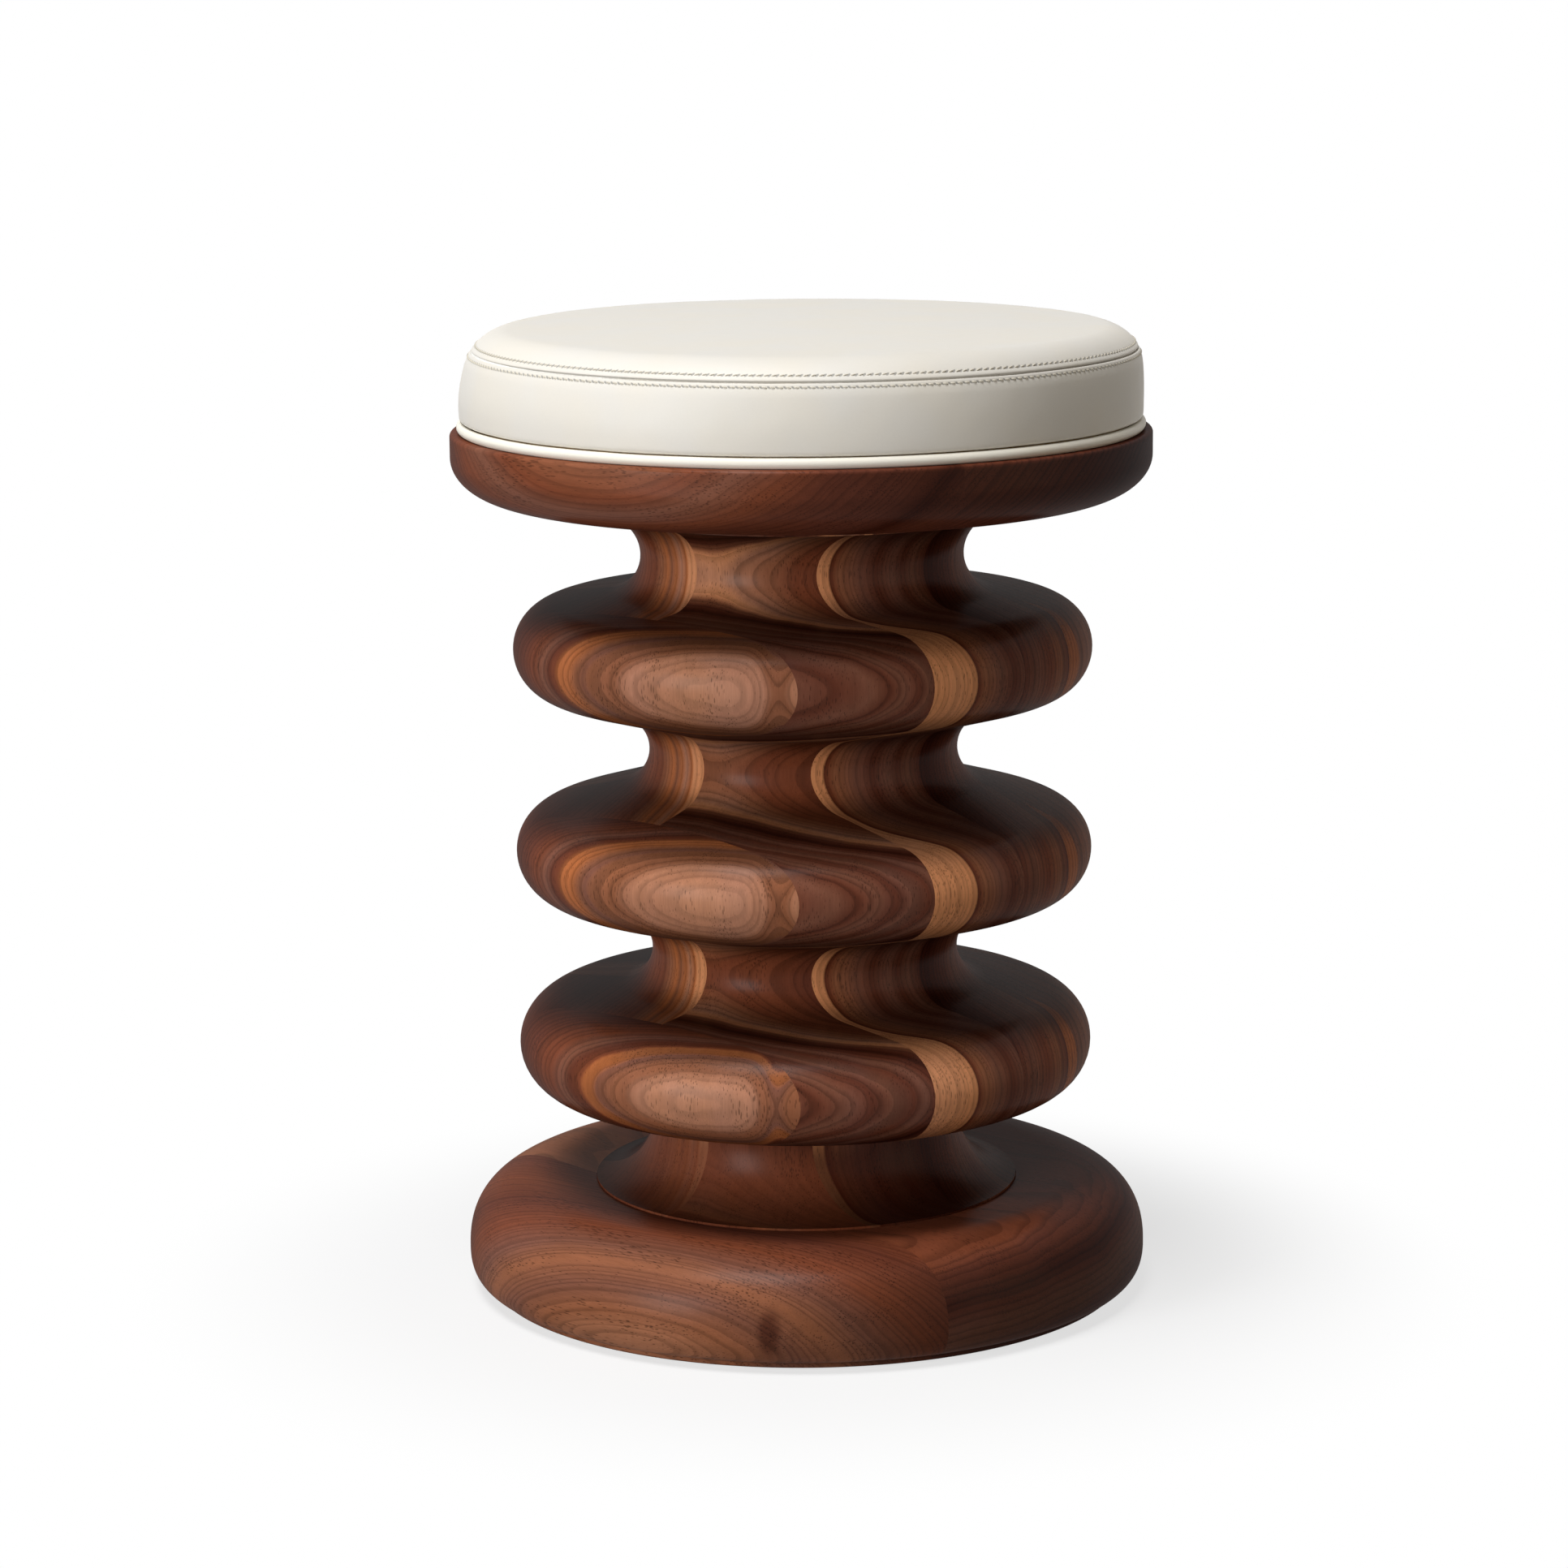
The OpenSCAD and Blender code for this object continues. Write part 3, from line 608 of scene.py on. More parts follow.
def walnut(name, upright, bearing, wander, ring, line_depth, bands, pith=600, lean=(0, 0), pores=0.8,
           ripple=(0, 1, 0), calm=None, foot=None, knot=None):
    """Oiled walnut for one board.

    Bearing is the way to the bark in degrees from the board's face normal, and bands name the tone at each
    depth in mm. Calm gives the depths between which the lines grow faint. Foot names the tone that the
    column's foot settles to. A knot is a dark smudge, given by its place in the stool and its sizes."""
    tones = bpy.context.scene.stool_colours
    material, graph, shader = new_material(name)
    turned = grain_frame(bpy.context.scene.stool_boards, upright)
    coordinates = graph.signals(graph.add("ShaderNodeTexCoord").outputs)
    place = graph.out(
        "ShaderNodeMapping",
        {"Vector": coordinates["Object"], "Rotation": turned.to_euler("XYZ"), "Scale": (MM,) * 3},
    )
    facing = graph.math("DOT_PRODUCT", coordinates["Normal"], turned.transposed() @ UP)
    to_bark = Matrix.Rotation(math.radians(bearing), 3, "Z")
    rings = graph.group(growth_rings(), {
        "Vector": place, "Bark Way": to_bark.col[0], "Side Way": to_bark.col[1], "Pith": pith,
        "Lean": (*lean, 0), "Wander": wander, "Ring Width": ring, "Ripple": ripple,
    })
    line, contrast = rings["Line"], line_depth
    if calm:
        contrast = graph.fade(rings["Depth"], *calm, line_depth, line_depth * 0.4)
    stops = [(float(depth), getattr(tones, tone)) for depth, tone in map(str.split, bands.split(","))]
    first, last = stops[0][0], stops[-1][0]
    share = graph.out("ShaderNodeMapRange", {"Value": rings["Depth"], "From Min": first, "From Max": last})
    tone = graph.ramp(share, [((depth - first) / (last - first), tone) for depth, tone in stops])
    # below the lowest neck the colour is blended toward one plain tone, partly the foot's even colour and
    # partly painted shade under the lowest disc
    if foot:
        _, _, height = graph.split(place)
        tone = graph.mix(graph.fade(height, *FOOT_FADE_MM, 0.85, 0.0), tone, (*getattr(tones, foot), 1))
        line *= graph.fade(height, *FOOT_FADE_MM, 0.4, 1.0)
    if knot:
        spot, sizes = knot
        ragged = graph.noise(place, 6, output="Color") * 0.5
        away = graph.math("LENGTH", graph.stretch(place - turned @ Vector(spot), *sizes) + ragged)
        tone = graph.mix(graph.fade(away, 0.5, 1.4, 0.75, 0.0), tone, (*tones.umber, 1))
    made = graph.group(oiled_walnut(), {
        "Color": tone, "Vector": place, "Line": line, "Year": rings["Year"],
        "End Grain": graph.math("ABSOLUTE", facing), "Line Depth": contrast, "Pores": pores,
    })
    oil = {"Coat_Weight": 0.12, "Coat_IOR": 1.5, "Coat_Roughness": 0.3}
    finish_shader(graph, shader, made, bump=0.35, relief_mm=0.12, Specular_IOR_Level=0.0, **oil)
    return material


# The boards' figure, in mm. Bearings turn from the front glue plane's facing towards the edge joint's
FRONT_CAP = dict(
    bearing=26, wander=6, ring=3.1, line_depth=0.30, pores=0.9, calm=(128, 137), ripple=(26, 8, -7),
    bands="60 umber, 88 cocoa, 98 russet, 104 mauve, 107.5 cocoa, 110 russet, 112 amber, 116 amber,"
          "118.5 chestnut, 121.2 mauve, 122.6 chestnut, 128 chestnut, 131 tan, 134 tan, 141 fawn, 145 honey",
)
LOWER_CAP = dict(
    FRONT_CAP, bearing=24, ripple=(29, 8, -7),
    bands="60 umber, 94 cocoa, 108 russet, 114 mauve, 118 cocoa, 121 russet, 122.2 amber, 124.6 amber,"
          "126 mauve, 129 chestnut, 131.2 chestnut, 133.4 tan, 142 fawn, 145 honey",
)
FRONT_LEFT = dict(
    bearing=107, wander=4, ring=3.2, line_depth=0.24, pith=3000, foot="russet",
    bands="-140 cocoa, -90 umber, -66 cocoa, -56 russet, -46 russet, -41 chestnut, -36 amber, -33.5 chestnut,"
          "-30 amber, -27 tan, -23.4 amber, -22 honey, 10 honey",
)
FRONT_RIGHT = dict(
    bearing=5, wander=7, ring=2.9, line_depth=0.30, lean=(-0.05, 0), ripple=(135, 45, 30), foot="russet",
    bands="40 umber, 58 umber, 68 cocoa, 76 russet, 82 russet, 87 chestnut, 92 tan, 95 honey, 97 chestnut,"
          "100 cocoa, 103 umber, 107 cocoa, 110 mauve, 113 cocoa, 117 mauve, 120 cocoa, 124 mauve, 127 cocoa,"
          "130 mauve, 134 cocoa, 138 mauve, 150 cocoa",
)
HEART_FRONT = dict(
    bearing=11.4, wander=3, ring=2.6, line_depth=0.24, pith=6000, ripple=(77, 24, -8.2), foot="umber",
    bands="-40 umber, 2 umber, 9 cocoa, 16 mauve, 22 cocoa, 28 mauve, 36 cocoa, 44 mauve, 53 chestnut,"
          "55.6 russet, 56.8 umber, 57.2 honey, 75 honey",
)
HEART_REAR = dict(
    bearing=163, wander=3, ring=2.8, line_depth=0.34, pith=6000,
    bands="-40 umber, 26 umber, 40 cocoa, 50 mauve, 60 russet, 68 chestnut, 75.6 cocoa, 76.4 amber, 95 amber",
)
REAR = dict(
    bearing=170, wander=8, ring=6, line_depth=0.34,
    bands="-60 cocoa, 0 mauve, 40 russet, 70 mauve, 110 chestnut, 140 mauve",
)
REAR_CAP = dict(
    bearing=196, wander=8, ring=5, line_depth=0.34,
    bands="60 cocoa, 80 mauve, 81 umber, 96 russet, 108 amber, 109 cocoa, 118 mauve, 119 cocoa, 128 chestnut,"
          "140 tan",
)
FRONT_BASE = dict(
    bearing=34, wander=6, ring=2.4, line_depth=0.27, pith=3000, lean=(-0.12, -0.15), pores=1.0,
    knot=((-17, -162, 17), (7, 11, 5)),
    bands="0 cocoa, 40 russet, 62 cocoa, 84 russet, 98 mauve, 108 chestnut, 118 mauve, 127 chestnut, 138 tan,"
          "150 tan, 160 fawn",
)
MIDDLE_BASE = dict(
    bearing=96, wander=7, ring=3.4, line_depth=0.30, pith=3000, lean=(-0.10, -0.05),
    bands="-70 chestnut, -58 chestnut, -54 russet, -46 russet, -41 cocoa, -36 cocoa, -28 umber, -23 cocoa,"
          "-15 mauve, -8 mauve, -2 cocoa, 10 cocoa",
)
FRONT_DISH = dict(
    bearing=42, wander=5, ring=2.6, line_depth=0.22, pith=250, lean=(-0.15, -0.05),
    bands="20 umber, 60 cocoa, 104 cocoa, 112 umber, 122 cocoa, 144 cocoa, 154 russet, 164 mauve, 171 russet,"
          "180 chestnut, 190 tan",
)
MIDDLE_DISH = dict(FRONT_DISH, bearing=44, ring=3.4, line_depth=0.34)
# The front, middle and rear boards
BASE_FIGURES = (FRONT_BASE, MIDDLE_BASE, dict(MIDDLE_BASE, ring=3.1))
DISH_FIGURES = (FRONT_DISH, MIDDLE_DISH, dict(MIDDLE_DISH, ring=3.0))


def part_boards(turned, layers, upright):
    """Parts a turned solid into its boards, given by the cuts and the figure of each CAD node."""
    pieces = {}
    for node, (cuts, figure) in layers.items():
        material = walnut(f"walnut_{node}", upright, **figure)
        slot = "walnut_sapwood" if node == "heart_stave_front" else "walnut"
        pieces[node] = make_piece(keep_between(turned, cuts), f"turned_{node}", material, (node,))
    turned.free()
    return pieces


def part_level(turned, part, boards, joints, figures):
    """Parts a turned solid into its front, middle and rear board, whose grain is level."""
    out, _ = board_axes(boards)
    front, rear = joints
    cuts = {"front": [(-out, -front)], "middle": [(out, front), (-out, rear)], "rear": [(out, -rear)]}
    layers = {f"{part}_board_{place}": (cuts[place], figure) for place, figure in zip(cuts, figures)}
    return part_boards(turned, layers, False)


class STOOL_OT_turn_base(bpy.types.Operator):
    """Turns the base, parts it into its three boards and drills its underside"""

    bl_idname = "stool.turn_base"
    bl_label = "Turn Base"

    def execute(self, context):
        scene = context.scene
        sizes, boards = scene.stool_base, scene.stool_boards
        bottom, socket = span_of("base_board_middle")[0], span_of("heart_stave_front")[0]
        low_h = sizes.widest_z - bottom - sizes.plinth_h
        low_w, shoulder_h = sizes.widest_r - sizes.plinth_r, sizes.crest_z - sizes.widest_z
        socket_r = scene.stool_column.foot_r + GLUE_GAP
        pen = Pen(0, bottom).line(sizes.plinth_r - PLINTH_ARRIS, bottom, 10)
        pen.line(sizes.plinth_r, bottom + PLINTH_ARRIS).line(sizes.plinth_r, bottom + sizes.plinth_h, 2)
        pen.arc(sizes.plinth_r, sizes.widest_z, 90, 24, (low_w / low_h, 1), sizes.fullness)
        squash = (1, shoulder_h / sizes.shoulder_w)
        pen.arc(sizes.widest_r - sizes.shoulder_w, sizes.widest_z, 90, 40, squash, sizes.fullness)
        pen.line(socket_r, sizes.crest_z - sizes.dip, 8).line(socket_r, socket).line(0, socket, 6)
        pieces = part_level(on_lathe(pen, LATHE_STEPS), "base", boards, sizes.joints, BASE_FIGURES)
        pads, bolts = ring_of(FELT_COUNT, FELT_CIRCLE_R, boards), ring_of(BOLT_COUNT, BOLT_CIRCLE_R, boards)
        for piece in pieces.values():
            drill(piece, pads, FELT_HOLE_R, bottom - PAST, FELT_HOLE_TOP)
        drill(pieces["base_board_middle"], bolts, COUNTERBORE_R, bottom - PAST, bottom + COUNTERBORE_DEPTH)
        return {"FINISHED"}


def press_pads(places, radius, low, high, soft):
    """Round pads with soft rims, one at each place in the XY plane."""
    pen = Pen(0, low).line(radius - soft, low, 4).arc(radius - soft, low + soft, 90, 6)
    pen.line(radius, high - soft, 2).arc(radius - soft, high - soft, 90, 6).line(0, high, 4)
    return copies(on_lathe(pen, SMALL_STEPS), [Matrix.Translation(place) for place in places])


class STOOL_OT_press_felt(bpy.types.Operator):
    """Presses the felt pads into the base's underside"""

    bl_idname = "stool.press_felt"
    bl_label = "Press Felt"

    def execute(self, context):
        places = ring_of(FELT_COUNT, FELT_CIRCLE_R, context.scene.stool_boards)
        pads = press_pads(places, FELT_R, *span_of("felt_pads"), FELT_SOFT)
        felt = plain_finish(
            "pressed_felt", "2f2a27", (0.5, 0.5, 0.5), contrast=0.5, rough=0.9, bump=0.8, relief_mm=0.4,
            Sheen_Weight=0.4,
        )
        make_piece(pads, "pressed_felt_pads", felt, ("felt_pads",), SMALL_CRISP)
        return {"FINISHED"}


def leave_angle(edge, radius, cove, cove_r):
    """Degrees round a disc's edge at which it runs straight on into a cove."""
    dx, dz = cove[0] - edge[0], abs(cove[1] - edge[1])
    return math.degrees(math.atan2(dz, dx) - math.acos(min(1, (radius + cove_r) / math.hypot(dx, dz))))


def draw_disc(pen, sizes, z, over_r, below, above):
    """Carries an outline from the neck below a disc round its edge to the neck above."""
    cove_r = sizes.cove_r
    under, over = (sizes.disc_r - sizes.disc_under, z), (sizes.disc_r - over_r, z)
    low, high = (below[0] + cove_r, below[1]), (above[0] + cove_r, above[1])
    a = leave_angle(under, sizes.disc_under, low, cove_r)
    b = leave_angle(over, over_r, high, cove_r)
    pen.arc(*low, -a, DISC_STEPS).line_round(under, sizes.disc_under, -a, DISC_STEPS // 2)
    pen.arc(*under, a, DISC_STEPS).arc(*over, b, DISC_STEPS)
    pen.line_round(high, cove_r, 180 + b, DISC_STEPS // 2).arc(*high, -b, DISC_STEPS)


class STOOL_OT_turn_column(bpy.types.Operator):
    """Turns the column of three discs and parts it into its glued boards"""

    bl_idname = "stool.turn_column"
    bl_label = "Turn Column"

    def execute(self, context):
        scene = context.scene
        sizes, base, boards = scene.stool_column, scene.stool_base, scene.stool_boards
        (socket, tenon_z), (dish_z, _) = span_of("heart_stave_front"), span_of("dish_board_middle")
        foot_z = base.crest_z - base.dip + sizes.foot_edge
        necks = list(zip(sizes.neck_r, sizes.neck_z))
        foot_h, foot_w = sizes.neck_z[0] - foot_z, sizes.foot_r - sizes.neck_r[0]
        head_h, head_w = dish_z - sizes.head_edge - sizes.neck_z[3], sizes.head_r - sizes.neck_r[3]
        pen = Pen(0, socket).line(sizes.foot_r, socket, 8).line(sizes.foot_r, foot_z)
        pen.arc(sizes.foot_r, sizes.neck_z[0], -90, 24, (foot_w / foot_h, 1))
        for z, over_r, below, above in zip(sizes.disc_z, sizes.disc_over, necks, necks[1:]):
            draw_disc(pen, sizes, z, over_r, below, above)
        pen.arc(sizes.head_r, sizes.neck_z[3], -90, 24, (1, head_h / head_w))
        pen.line(sizes.head_r, dish_z).line(sizes.tenon_r, dish_z, 4)
        pen.line(sizes.tenon_r, tenon_z).line(0, tenon_z, 4)
        out, along = board_axes(boards)
        planes = {k: boards.shift + k * boards.thickness for k in range(-2, 3)}
        inner, outer, edge = (-out, -planes[1]), (out, planes[2]), boards.edge_joint
        layers = {
            "front_stave_left": ([inner, (along, edge), outer], FRONT_LEFT),
            "front_stave_right": ([inner, (-along, -edge), outer], FRONT_RIGHT),
            "heart_stave_front": ([(out, planes[1]), (-out, -planes[0])], HEART_FRONT),
            "heart_stave_rear": ([(out, planes[0]), (-out, -planes[-1])], HEART_REAR),
            "rear_stave": ([(out, planes[-1]), (-out, -planes[-2])], REAR),
        }
        low, high = sizes.neck_z[1:3]
        shelves = {"lower": [(UP, low)], "middle": [(-UP, -low), (UP, high)], "upper": [(-UP, -high)]}
        for shelf, cuts in shelves.items():
            figure = LOWER_CAP if shelf == "lower" else FRONT_CAP
            layers[f"front_cap_{shelf}"] = ([(-out, -planes[2]), *cuts], figure)
            layers[f"rear_cap_{shelf}"] = ([(out, planes[-2]), *cuts], REAR_CAP)
        part_boards(on_lathe(pen, LATHE_STEPS), layers, True)
        return {"FINISHED"}


class STOOL_OT_turn_dish(bpy.types.Operator):
    """Turns the dish that carries the cushion, parts it into its boards and sinks its bolts"""

    bl_idname = "stool.turn_dish"
    bl_label = "Turn Dish"

    def execute(self, context):
        sizes, boards = context.scene.stool_dish, context.scene.stool_boards
        bottom, top = span_of("dish_board_middle")
        socket_r = context.scene.stool_column.tenon_r + GLUE_GAP
        socket_top = span_of("heart_stave_front")[1] + PAST
        curve_h = top - sizes.wall - bottom
        pen = Pen(0, socket_top).line(socket_r, socket_top, 4).line(socket_r, bottom)
        pen.line(sizes.rim_r - sizes.round_w, bottom, 8)
        pen.arc(sizes.rim_r - sizes.round_w, top - sizes.wall, 90, 32, (sizes.round_w / curve_h, 1))
        pen.line(sizes.rim_r, top - sizes.arris, 6)
        pen.arc(sizes.rim_r - sizes.arris, top - sizes.arris, 90, 8).line(0, top, 12)
        pieces = part_level(on_lathe(pen, LATHE_STEPS), "dish", boards, sizes.joints, DISH_FIGURES)
        bolts = ring_of(BOLT_COUNT, SEAT_BOLT_CIRCLE_R, boards)
        for piece in pieces.values():
            drill(piece, bolts, SEAT_BOLT_SINK_R, bottom - PAST, bottom + SEAT_BOLT_SINK)
        return {"FINISHED"}


def side_arc(cushion, shoulder_z, belly_z):
    """Degrees at which the shoulder runs into the side, and the radius of the side that draws in."""
    rise = shoulder_z - belly_z
    leave = 2 * math.atan(cushion.draw / rise)
    return math.degrees(leave), cushion.shoulder_r + rise / math.sin(leave)


def cushion_heights(cushion):
    """Heights of the dish's top, the cushion's top and the shoulder's centre, and that centre's radius."""
    dish_z, top_z = span_of("dish_board_middle")[1], span_of("top_panel")[1]
    shoulder_z = top_z - cushion.crown - cushion.shoulder_r
    shoulder_x = cushion.foot_r - cushion.draw - cushion.shoulder_r
    return dish_z, top_z, shoulder_z, shoulder_x


def stitch_rows(cushion):
    """Distances of the two rows of stitches above the seam."""
    return cushion.rows[0], -cushion.rows[1]


def lean_over(bm, cushion):
    """Leans the upper part of the sewn cover a little to the right, as its filling has settled."""
    dish_z, top_z, _, _ = cushion_heights(cushion)
    belly_z = dish_z + cushion.welt_d + cushion.belly_h
    for point in bm.verts:
        rise = min(1, max(0, (point.co.z - belly_z) / (top_z - belly_z)))
        point.co.x += cushion.lean * rise * rise * (3 - 2 * rise)


def bell(height, away, width):
    return height * math.exp(-((away / width) ** 2))


def seam_relief(distance, rows):
    """How far the leather stands out at a distance in metres above the seam: lip, needle lines and crease."""
    lines = sum(bell(NEEDLE_LINE, distance - row, NEEDLE_LINE_W) for row in rows)
    return bell(LIP, abs(distance) - LIP_PLACE, LIP_W) - lines - bell(CREASE, distance, CREASE_W)


def press_seam(points, cushion, centre):
    """Moves the points of an outline in and out along the shoulder's radius, as the sewn seam does."""
    for point in points:
        away = point.co - Vector((centre[0], 0, centre[1]))
        distance = (math.atan2(away.z, away.x) - cushion.seam_angle) * cushion.shoulder_r
        if abs(distance) < SEAM_REACH:
            point.co += away.normalized() * seam_relief(distance, stitch_rows(cushion))


def ruffle(bm):
    """Moves leather along its normals by a little noise, as hand sewn work lies."""
    for point in bm.verts:
        place = point.co * MM
        swell = BROAD_WAVE * noise.noise(place / 62) + FINE_WAVE * noise.noise(place / 11)
        point.co += point.normal * swell


def leather(name, tone, cushion, seam=0, row=0, slant=0):
    """Leather with painted shade in its seam's crease and in the needle holes of its row of stitches, given
    by their heights.
    """
    material, graph, shader = new_material(name)
    place = graph.place_mm((cushion.lean * SEAM_LEAN, 0, 0))
    # painted shade of the seam's crease and needle holes
    seam_shade = graph.group(painted_seam_shade(), {
        "Vector": place, "Seam": seam * MM, "Row": row * MM, "Slant": slant,
        "Count": float(cushion.stitch_count),
    })["Seam Shade"]
    made = graph.group(soft_leather(), {"Color": (*tone, 1), "Vector": place, "Seam Shade": seam_shade})
    finish_shader(graph, shader, made, bump=0.22, relief_mm=0.1, Specular_IOR_Level=0.3)
    return material


def sew_leather(outline, node, material, cushion):
    """Makes a piece of the cover from its outline, with its wall inwards, on a filling that gives."""
    bm = on_lathe(outline, CUSHION_STEPS)
    ruffle(bm)
    lean_over(bm, cushion)
    piece = make_piece(bm, f"leather_{node}", material, (node,), LEATHER_CRISP)
    wall = piece.modifiers.new("leather", "SOLIDIFY")
    wall.thickness, wall.offset, wall.use_even_offset = cushion.leather_t, -1, False


class STOOL_OT_sew_cover(bpy.types.Operator):
    """Makes the leather panel and band of the cushion, with the crease and lips of the seam between them"""

    bl_idname = "stool.sew_cover"
    bl_label = "Sew Cover"

    def execute(self, context):
        cushion, tone = context.scene.stool_cushion, context.scene.stool_colours.leather
        dish_z, top_z, shoulder_z, shoulder_x = cushion_heights(cushion)
        radius, at, centre = cushion.shoulder_r, cushion.seam_angle, (shoulder_x, shoulder_z)
        rise = radius + cushion.crown
        ball_r = (shoulder_x ** 2 + rise ** 2 - radius ** 2) / (2 * cushion.crown)
        tilt = math.degrees(math.asin(shoulder_x / (ball_r - radius)))
        seam = math.degrees(at)
        seam_z, upper_z, lower_z = (
            shoulder_z + radius * math.sin(at + row / radius) for row in (0, *stitch_rows(cushion))
        )
        panel = Pen(0, top_z).arc(0, top_z - ball_r, -tilt, 26)
        panel.arc(*centre, -(90 - tilt - seam - NEAR_SEAM), 14).arc(*centre, -NEAR_SEAM, 30)
        press_seam(panel.bm.verts, cushion, centre)
        tucked = panel.tip.co
        panel.line(tucked.x - SEAM_TUCK, tucked.z + TUCK_RISE, 2)
        material = leather("leather_panel", tone, cushion, seam_z, upper_z, NEEDLE_SLANT)
        sew_leather(panel, "top_panel", material, cushion)
        belly_z = dish_z + cushion.welt_d + HEM_GAP + cushion.belly_h
        leave, side_r = side_arc(cushion, shoulder_z, belly_z)
        under = math.degrees(math.asin((cushion.belly_h - HEM_ROLL) / side_r))
        band = Pen(shoulder_x + radius * math.cos(at), shoulder_z + radius * math.sin(at))
        band.arc(*centre, -NEAR_SEAM, 30).arc(*centre, -(seam - NEAR_SEAM - leave), 4)
        press_seam(band.bm.verts, cushion, centre)
        band.arc(cushion.foot_r - side_r, belly_z, -(leave + under), 18)
        foot = band.tip.co
        band.arc(foot.x - HEM_ROLL, foot.z, -90, 6).line(foot.x - HEM_W, foot.z - HEM_ROLL, 3)
        material = leather("leather_band", tone, cushion, seam_z, lower_z, -NEEDLE_SLANT)
        sew_leather(band, "side_band", material, cushion)
        return {"FINISHED"}


class STOOL_OT_pipe_welt(bpy.types.Operator):
    """Lays the leather welt round the cushion's foot, with its flange in under the seat"""

    bl_idname = "stool.pipe_welt"
    bl_label = "Pipe Welt"

    def execute(self, context):
        cushion = context.scene.stool_cushion
        dish_z = cushion_heights(cushion)[0]
        radius = cushion.welt_d / 2
        x, z = cushion.foot_r + cushion.welt_proud - radius, dish_z + radius
        back = math.degrees(math.asin((radius - cushion.leather_t) / radius))
        flange_x = x - cushion.welt_flange
        pen = Pen(flange_x, dish_z + cushion.leather_t).line(flange_x, dish_z).line(x, dish_z, 4)
        pen.arc(x, z, 270 + back, 32).line(flange_x, dish_z + cushion.leather_t, 4)
        bm = on_lathe(pen, CUSHION_STEPS)
        for point in bm.verts:
            if math.hypot(point.co.x, point.co.y) > x and point.co.z > z:
                lump = noise.noise(point.co * MM / 9) * 0.5 + noise.noise(point.co * MM / 40)
                point.co += point.normal * WELT_WAVE * lump
        material = leather("leather_piping", context.scene.stool_colours.welt, cushion)
        make_piece(bm, "leather_welt", material, ("welt_cover",))
        return {"FINISHED"}


def thread_material(tone):
    material, graph, shader = new_material("sewing_thread")
    twist = graph.noise(graph.place_mm(), 0.22)
    graph.plug(shader.inputs["Base Color"], graph.fade(twist, 0.3, 0.7, 0.78, 1.05) * tuple(tone))
    graph.plug(shader.inputs["Roughness"], graph.fade(twist, 0.3, 0.7, 0.75, 0.55))
    return material


def stitch_shape(thread_d, chord, lift):
    """One stitch along X: a thread that rises out of the leather at one end and dives in at the other."""
    bm = bmesh.new()
    sag = lift + thread_d
    bow_r = (chord ** 2 / 4 + sag ** 2) / (2 * sag)
    half = math.asin(min(1, chord / 2 / bow_r))
    start = Matrix.Translation((0, 0, bow_r)) @ Matrix.Rotation(math.radians(90), 4, "Y")
    bmesh.ops.create_circle(bm, cap_ends=True, segments=THREAD_STEPS, radius=thread_d / 2, matrix=start)
    bmesh.ops.rotate(bm, verts=bm.verts, cent=(0, 0, 0), matrix=Matrix.Rotation(-half, 3, "Y"))
    bmesh.ops.spin(
        bm, geom=bm.faces[:], cent=(0, 0, 0), axis=(0, 1, 0), angle=2 * half, steps=THREAD_STEPS
    )
    bmesh.ops.recalc_face_normals(bm, faces=bm.faces)
    bmesh.ops.translate(bm, verts=bm.verts, vec=(0, 0, lift - bow_r))
    return bm


class STOOL_OT_stitch_seam(bpy.types.Operator):
    """Sews a row of slanted stitches on each side of the cushion's seam"""

    bl_idname = "stool.stitch_seam"
    bl_label = "Stitch Seam"

    def execute(self, context):
        cushion, tones = context.scene.stool_cushion, context.scene.stool_colours
        _, _, shoulder_z, shoulder_x = cushion_heights(cushion)
        material, rows = thread_material(tones.thread), stitch_rows(cushion)
        count = cushion.stitch_count
        turns = [Matrix.Rotation(math.tau * i / count, 4, "Z") for i in range(count)]
        for name, row in zip(("upper", "lower"), rows):
            at = cushion.seam_angle + row / cushion.shoulder_r
            out = cushion.shoulder_r + seam_relief(row, rows)
            sewn = (
                Matrix.Translation((shoulder_x + out * math.cos(at), 0, shoulder_z + out * math.sin(at)))
                @ Matrix.Rotation(math.pi / 2 - at, 4, "Y")
                @ Matrix.Rotation(math.pi / 2 + math.copysign(STITCH_SLANT, row), 4, "Z")
            )
            stitch = stitch_shape(cushion.thread_d, STITCH_L, STITCH_RISE)
            bm = copies(stitch, [turned @ sewn for turned in turns])
            lean_over(bm, cushion)
            make_piece(bm, f"stitches_{name}", material, (), SMALL_CRISP)
        return {"FINISHED"}


def plain_finish(name, tone, grain_mm, contrast, rough, bump=0.3, relief_mm=0.1, **values):
    """Material for a small or hidden part: a colour clouded by noise, with its grain along X, Y and Z."""
    material, graph, shader = new_material(name)
    cloud = graph.noise(graph.place_mm(), *grain_mm, detail=4.0, roughness=0.6)
    made = {
        "Color": graph.fade(cloud, 0.25, 0.75, 1 - contrast, 1 + contrast) * tuple(linear(tone)),
        "Roughness": graph.fade(cloud, 0.25, 0.75, rough + 0.08, rough - 0.08), "Height": cloud,
    }
    finish_shader(graph, shader, made, bump, relief_mm, **values)
    return material


